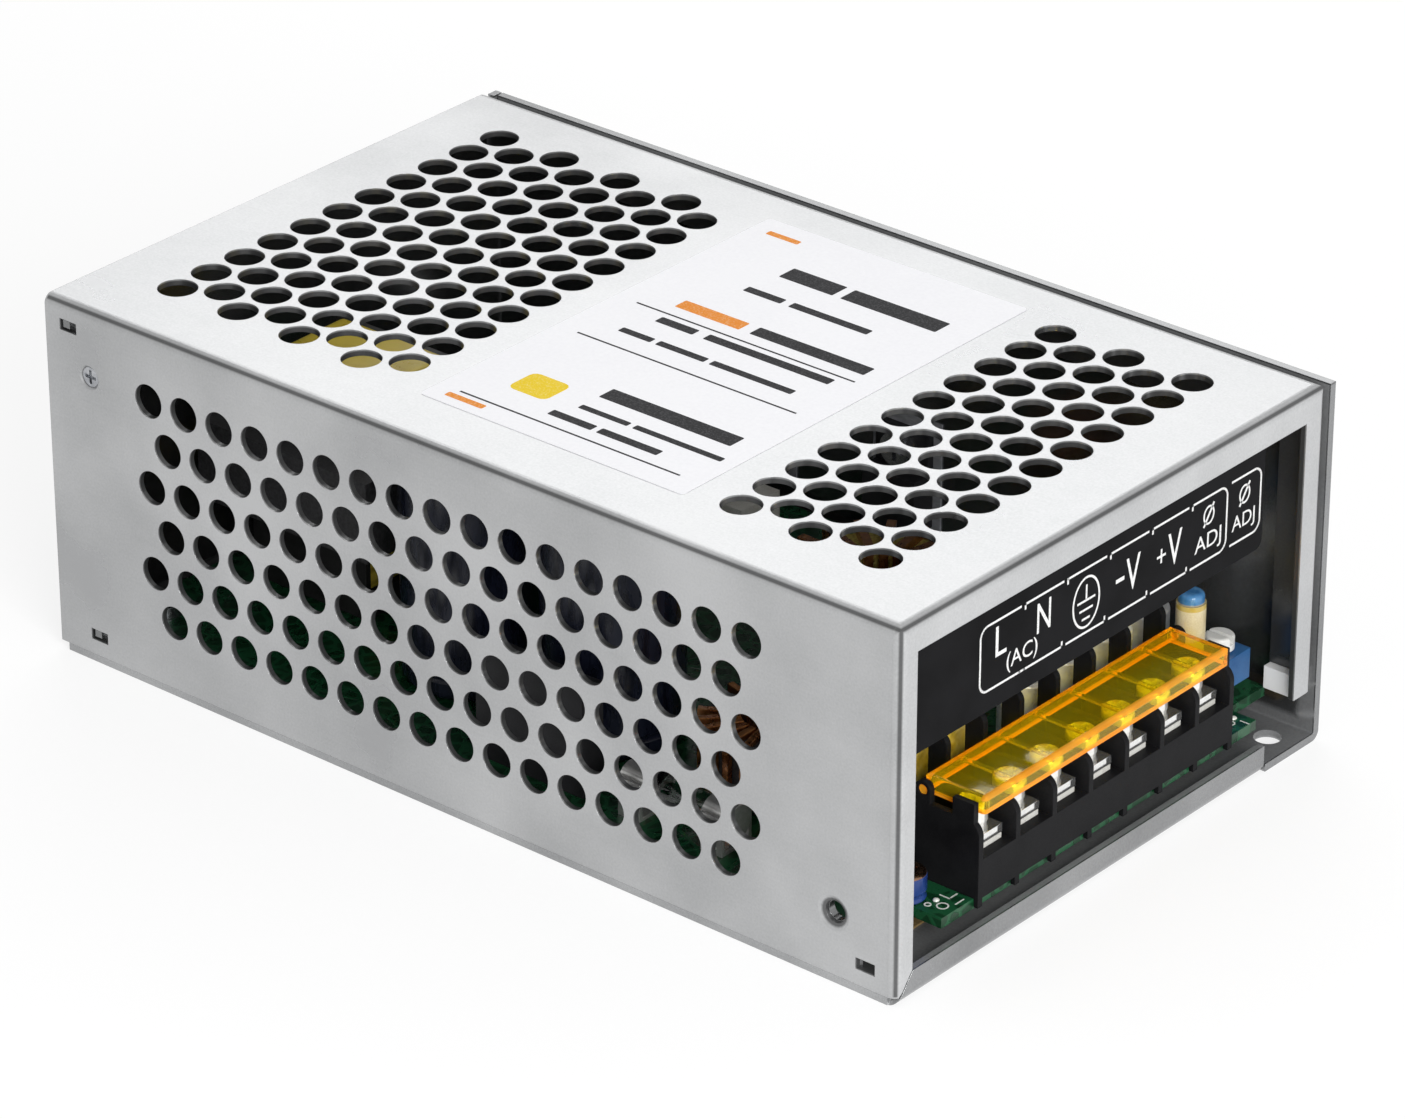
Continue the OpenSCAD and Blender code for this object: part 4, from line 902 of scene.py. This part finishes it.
# A quarter ring of short bars; the sides point from the corner into the cell
def frameCorner(x, z, sideX, sideZ):
    made, steps, width = [], marks["corner steps"], marks["line"]
    centre = (x + sideX * marks["round"], z + sideZ * marks["round"])
    radius = marks["round"] - width / 2
    length = radius * math.radians(90) / steps * marks["corner overlap"]
    for k in range(steps):
        turn = math.radians(90 * (k + 0.5) / steps)
        spot = (centre[0] - sideX * radius * math.cos(turn), centre[1] - sideZ * radius * math.sin(turn))
        slope = math.atan2(-sideZ * math.cos(turn), sideX * math.sin(turn))
        piece = bar((-length / 2, -width / 2), (length / 2, width / 2))
        made.append(settle(piece, turn=(0, 0, slope), place=(spot[0] * mm, spot[1] * mm, 0)))
    return made


def frameLines():
    borders, low, high, line = marks["borders"], marks["low"], marks["high"], marks["line"]
    gap, tick, last = marks["gap"], marks["tick"], marks["last"]
    made = []
    for k in range(len(borders) - 1):
        made += frameCell(borders[k], borders[k + 1], k > 0, k < len(borders) - 2)
    for x in borders[2:-1]:  # the lower line runs on past the first border
        made.append(bar((x - gap / 2 - line, low), (x - gap / 2, low + tick)))
    for x in borders[1:-1]:
        made.append(bar((x + gap / 2, high - tick), (x + gap / 2 + line, high)))
    made.append(bar((borders[1] - gap, low), (borders[1] + gap, low + line)))
    for z, sideZ in ((low, 1), (high, -1)):
        made += frameCorner(borders[0], z, 1, sideZ)
        made += frameCorner(borders[-1], z, -1, sideZ)
        made += frameCorner(last, z, -1, sideZ)
    lastStart, lastEnd = borders[-1] + marks["last gap"], last - marks["round"]
    made += [bar((lastStart, z), (lastEnd, z + line)) for z in (low, high - line)]
    made.append(bar((last - line, low + marks["round"]), (last, high - marks["round"])))
    return made


def makeMarks():
    made = frameLines()
    borders, line = (*marks["borders"], marks["last"]), marks["line"]
    middle = [(borders[k] + borders[k + 1]) / 2 for k in range(len(borders) - 1)]
    for text, cell, shift, up, height, width in marks["words"]:
        made.append(word(text, (middle[cell] + shift, up), height, width))
    earth = marks["earth"]
    across = middle[earth["cell"]]
    made.append(ring((across, earth["up"]), earth["radii"], line))
    made.append(bar((across - line / 2, earth["stem"][0]), (across + line / 2, earth["stem"][1])))
    for up, half in earth["bars"]:
        made.append(bar((across - half, up), (across + half, up + line)))
    minus = marks["minus"]
    (start, end), (low, high) = minus["across"], minus["up"]
    made.append(bar((middle[minus["cell"]] + start, low), (middle[minus["cell"]] + end, high)))
    dial = marks["dial"]
    halfWidth, halfLength = dial["half tick"]
    for cell in dial["cells"]:
        made.append(ring((middle[cell], dial["up"]), dial["radii"], dial["line"]))
        tick = bar((-halfWidth, -halfLength), (halfWidth, halfLength))
        place = (middle[cell] * mm, dial["up"] * mm, 0)
        made.append(settle(tick, turn=(0, 0, math.radians(dial["turn"])), place=place))
    sign = joinPieces("plateMarks", made)
    plateLow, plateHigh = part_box("marking_plate")
    settle(sign, turn=(math.pi / 2, 0, math.pi / 2), place=(plateHigh.x, 0, plateLow.z))
    addPiece(sign, ink("plate_ink", marks["ink"]))


makeMarks()
print("plate marks made")


# Board print and tinned pads beside the terminal block
boardPrint = {  # in mm, from the middle of the front edge of the board
    "thick": 0.03, "line": 0.22,
    "rings": ((-2.0, -33.6, 0.9), (-3.8, -34.6, 0.55), (-2.2, 33.2, 0.7)),  # centre and radius
    "bars": ((-4.2, -31.6, 1.8, 0.22), (-2.6, -31.2, 0.22, 1.5),  # corner, length and width
             (-1.0, -32.2, 0.22, 1.9), (-1.6, 34.6, 1.6, 0.22)),
    "pads": ((-3.0, 31.4, 0.75), (-1.3, 31.0, 0.6), (-2.8, 34.6, 0.6), (-3.6, -33.0, 0.5)),
    "pad high": 0.35, "pad insets": (0.25, 0.35), "pad sides": 24,
    "ink": {"full": (0.80, 0.80, 0.76), "worn": (0.5, 0.52, 0.48), "rough": 0.5},
}


def domedPad(centre, radius):
    clearChoice()
    bpy.ops.mesh.primitive_circle_add(vertices=boardPrint["pad sides"], radius=radius, fill_type="NGON",
                                      location=(*centre, 0))
    piece = bpy.context.object
    bpy.ops.object.transform_apply(location=True, rotation=True, scale=True)
    bpy.ops.object.mode_set(mode="EDIT")
    bpy.ops.mesh.select_all(action="SELECT")
    step = boardPrint["pad high"] * mm / (len(boardPrint["pad insets"]) + 1)
    bpy.ops.mesh.extrude_region_move(TRANSFORM_OT_translate={"value": (0, 0, step)})
    for inset in boardPrint["pad insets"]:  # stepped insets round the solder over its pin
        bpy.ops.mesh.inset(thickness=radius * inset, depth=step)
    bpy.ops.mesh.select_all(action="SELECT")
    bpy.ops.mesh.normals_make_consistent(inside=False)
    bpy.ops.object.mode_set(mode="OBJECT")
    return piece


def makeBoardPrint():
    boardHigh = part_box("circuit_board")[1]
    frontEdge = (boardHigh.x, 0, boardHigh.z)
    thick, line = boardPrint["thick"] * mm, boardPrint["line"] * mm
    made = []
    for x, y, radius in boardPrint["rings"]:
        made.append(ringMark((x * mm, y * mm), (radius * mm, radius * mm), line, thick))
    for x, y, length, width in boardPrint["bars"]:
        made.append(patch("bar", (x * mm, y * mm), ((x + length) * mm, (y + width) * mm), thick, 0))
    printed = joinPieces("boardPrint", made)
    addPiece(settle(printed, place=frontEdge), ink("board_ink", boardPrint["ink"]))
    made = [domedPad((x * mm, y * mm), radius * mm) for x, y, radius in boardPrint["pads"]]
    pads = joinPieces("boardPads", made)
    for face in pads.data.polygons:
        face.use_smooth = True
    addPiece(settle(pads, place=frontEdge), platedFinish["tinned_brass"])


makeBoardPrint()
print("board print made")


# Pale stage: floor and world look white to the camera and in reflections, and the floor keeps a soft shadow
stage = {
    "size": 8.0, "drop": 0.05 * mm, "albedo": (0.80, 0.80, 0.80), "glow": 0.72, "shade": (0.30, 0.30, 0.30),
    "sky": 0.75,
}


def seenDirectly(holder):
    path = addNode(holder, "LightPath")
    seen = path.outputs["Is Camera Ray"]
    for name in ("Is Glossy Ray", "Is Transmission Ray"):
        seen = combine(holder, "MAXIMUM", seen, path.outputs[name])
    return seen


# Shows one shader to the camera and in reflections, and the other to the light that bounces
def showBoth(holder, output, bounced, seen):
    choice = addNode(holder, "MixShader")
    link(holder, seenDirectly(holder), choice.inputs["Fac"])
    link(holder, bounced.outputs[0], choice.inputs[1])
    link(holder, seen.outputs[0], choice.inputs[2])
    link(holder, choice.outputs[0], output.inputs["Surface"])


def makeFloor():
    clearChoice()
    bpy.ops.mesh.primitive_plane_add(size=stage["size"], location=(0, 0, cadLow.z - stage["drop"]))
    floor = bpy.context.object
    floor.name = "floor"
    finish = bpy.data.materials.new("floor_white")
    finish.use_nodes = True
    finish.node_tree.nodes.clear()
    output = addNode(finish, "OutputMaterial")
    plain = addNode(finish, "BsdfDiffuse", {"Color": (*stage["albedo"], 1)})
    shade = addNode(finish, "BsdfDiffuse", {"Color": (*stage["shade"], 1)})
    glow = addNode(finish, "Emission", {"Color": (1, 1, 1, 1), "Strength": stage["glow"]})
    white = addNode(finish, "AddShader")
    link(finish, shade.outputs[0], white.inputs[0])
    link(finish, glow.outputs[0], white.inputs[1])
    showBoth(finish, output, plain, white)
    floor.data.materials.append(finish)


def makeWorld():
    world = bpy.data.worlds.new("studio")
    bpy.context.scene.world = world
    world.use_nodes = True
    world.node_tree.nodes.clear()
    output = addNode(world, "OutputWorld")
    sky = addNode(world, "Background", {"Strength": stage["sky"]})
    white = addNode(world, "Background")
    showBoth(world, output, sky, white)


lamps = {  # place in metres, width, height, power in watts
    "topBox": ((-0.27, 0.33, 0.33), 0.36, 0.22, 0.50),
    "frontFill": ((0.62, -0.38, 0.34), 0.4, 0.4, 4.6),
}
lampAim = (0, 0, 0.03)


def makeLamps():
    for name, (place, width, height, power) in lamps.items():
        clearChoice()
        turn = (Vector(lampAim) - Vector(place)).to_track_quat("-Z", "Y").to_euler()
        bpy.ops.object.light_add(type="AREA", location=place, rotation=turn)
        lamp = bpy.context.object
        lamp.name = name
        lamp.data.shape = "RECTANGLE"
        lamp.data.size, lamp.data.size_y = width, height
        lamp.data.energy = power


view = {
    "place": (0.53610, -0.62926, 0.45529), "azimuth": 40.221, "elevation": 27.666, "lens": 164.35,
    "sensor": 36, "clip": (0.01, 30),
}


def makeCamera():
    clearChoice()
    turn = (math.radians(90 - view["elevation"]), 0, math.radians(view["azimuth"]))
    bpy.ops.object.camera_add(location=view["place"], rotation=turn)
    camera = bpy.context.object
    camera.data.lens = view["lens"]
    camera.data.sensor_width = view["sensor"]
    camera.data.clip_start, camera.data.clip_end = view["clip"]
    bpy.context.scene.camera = camera


makeFloor()
makeWorld()
makeLamps()
makeCamera()
bpy.context.scene.view_settings.view_transform = "Standard"
print("stage, lamps and camera set")
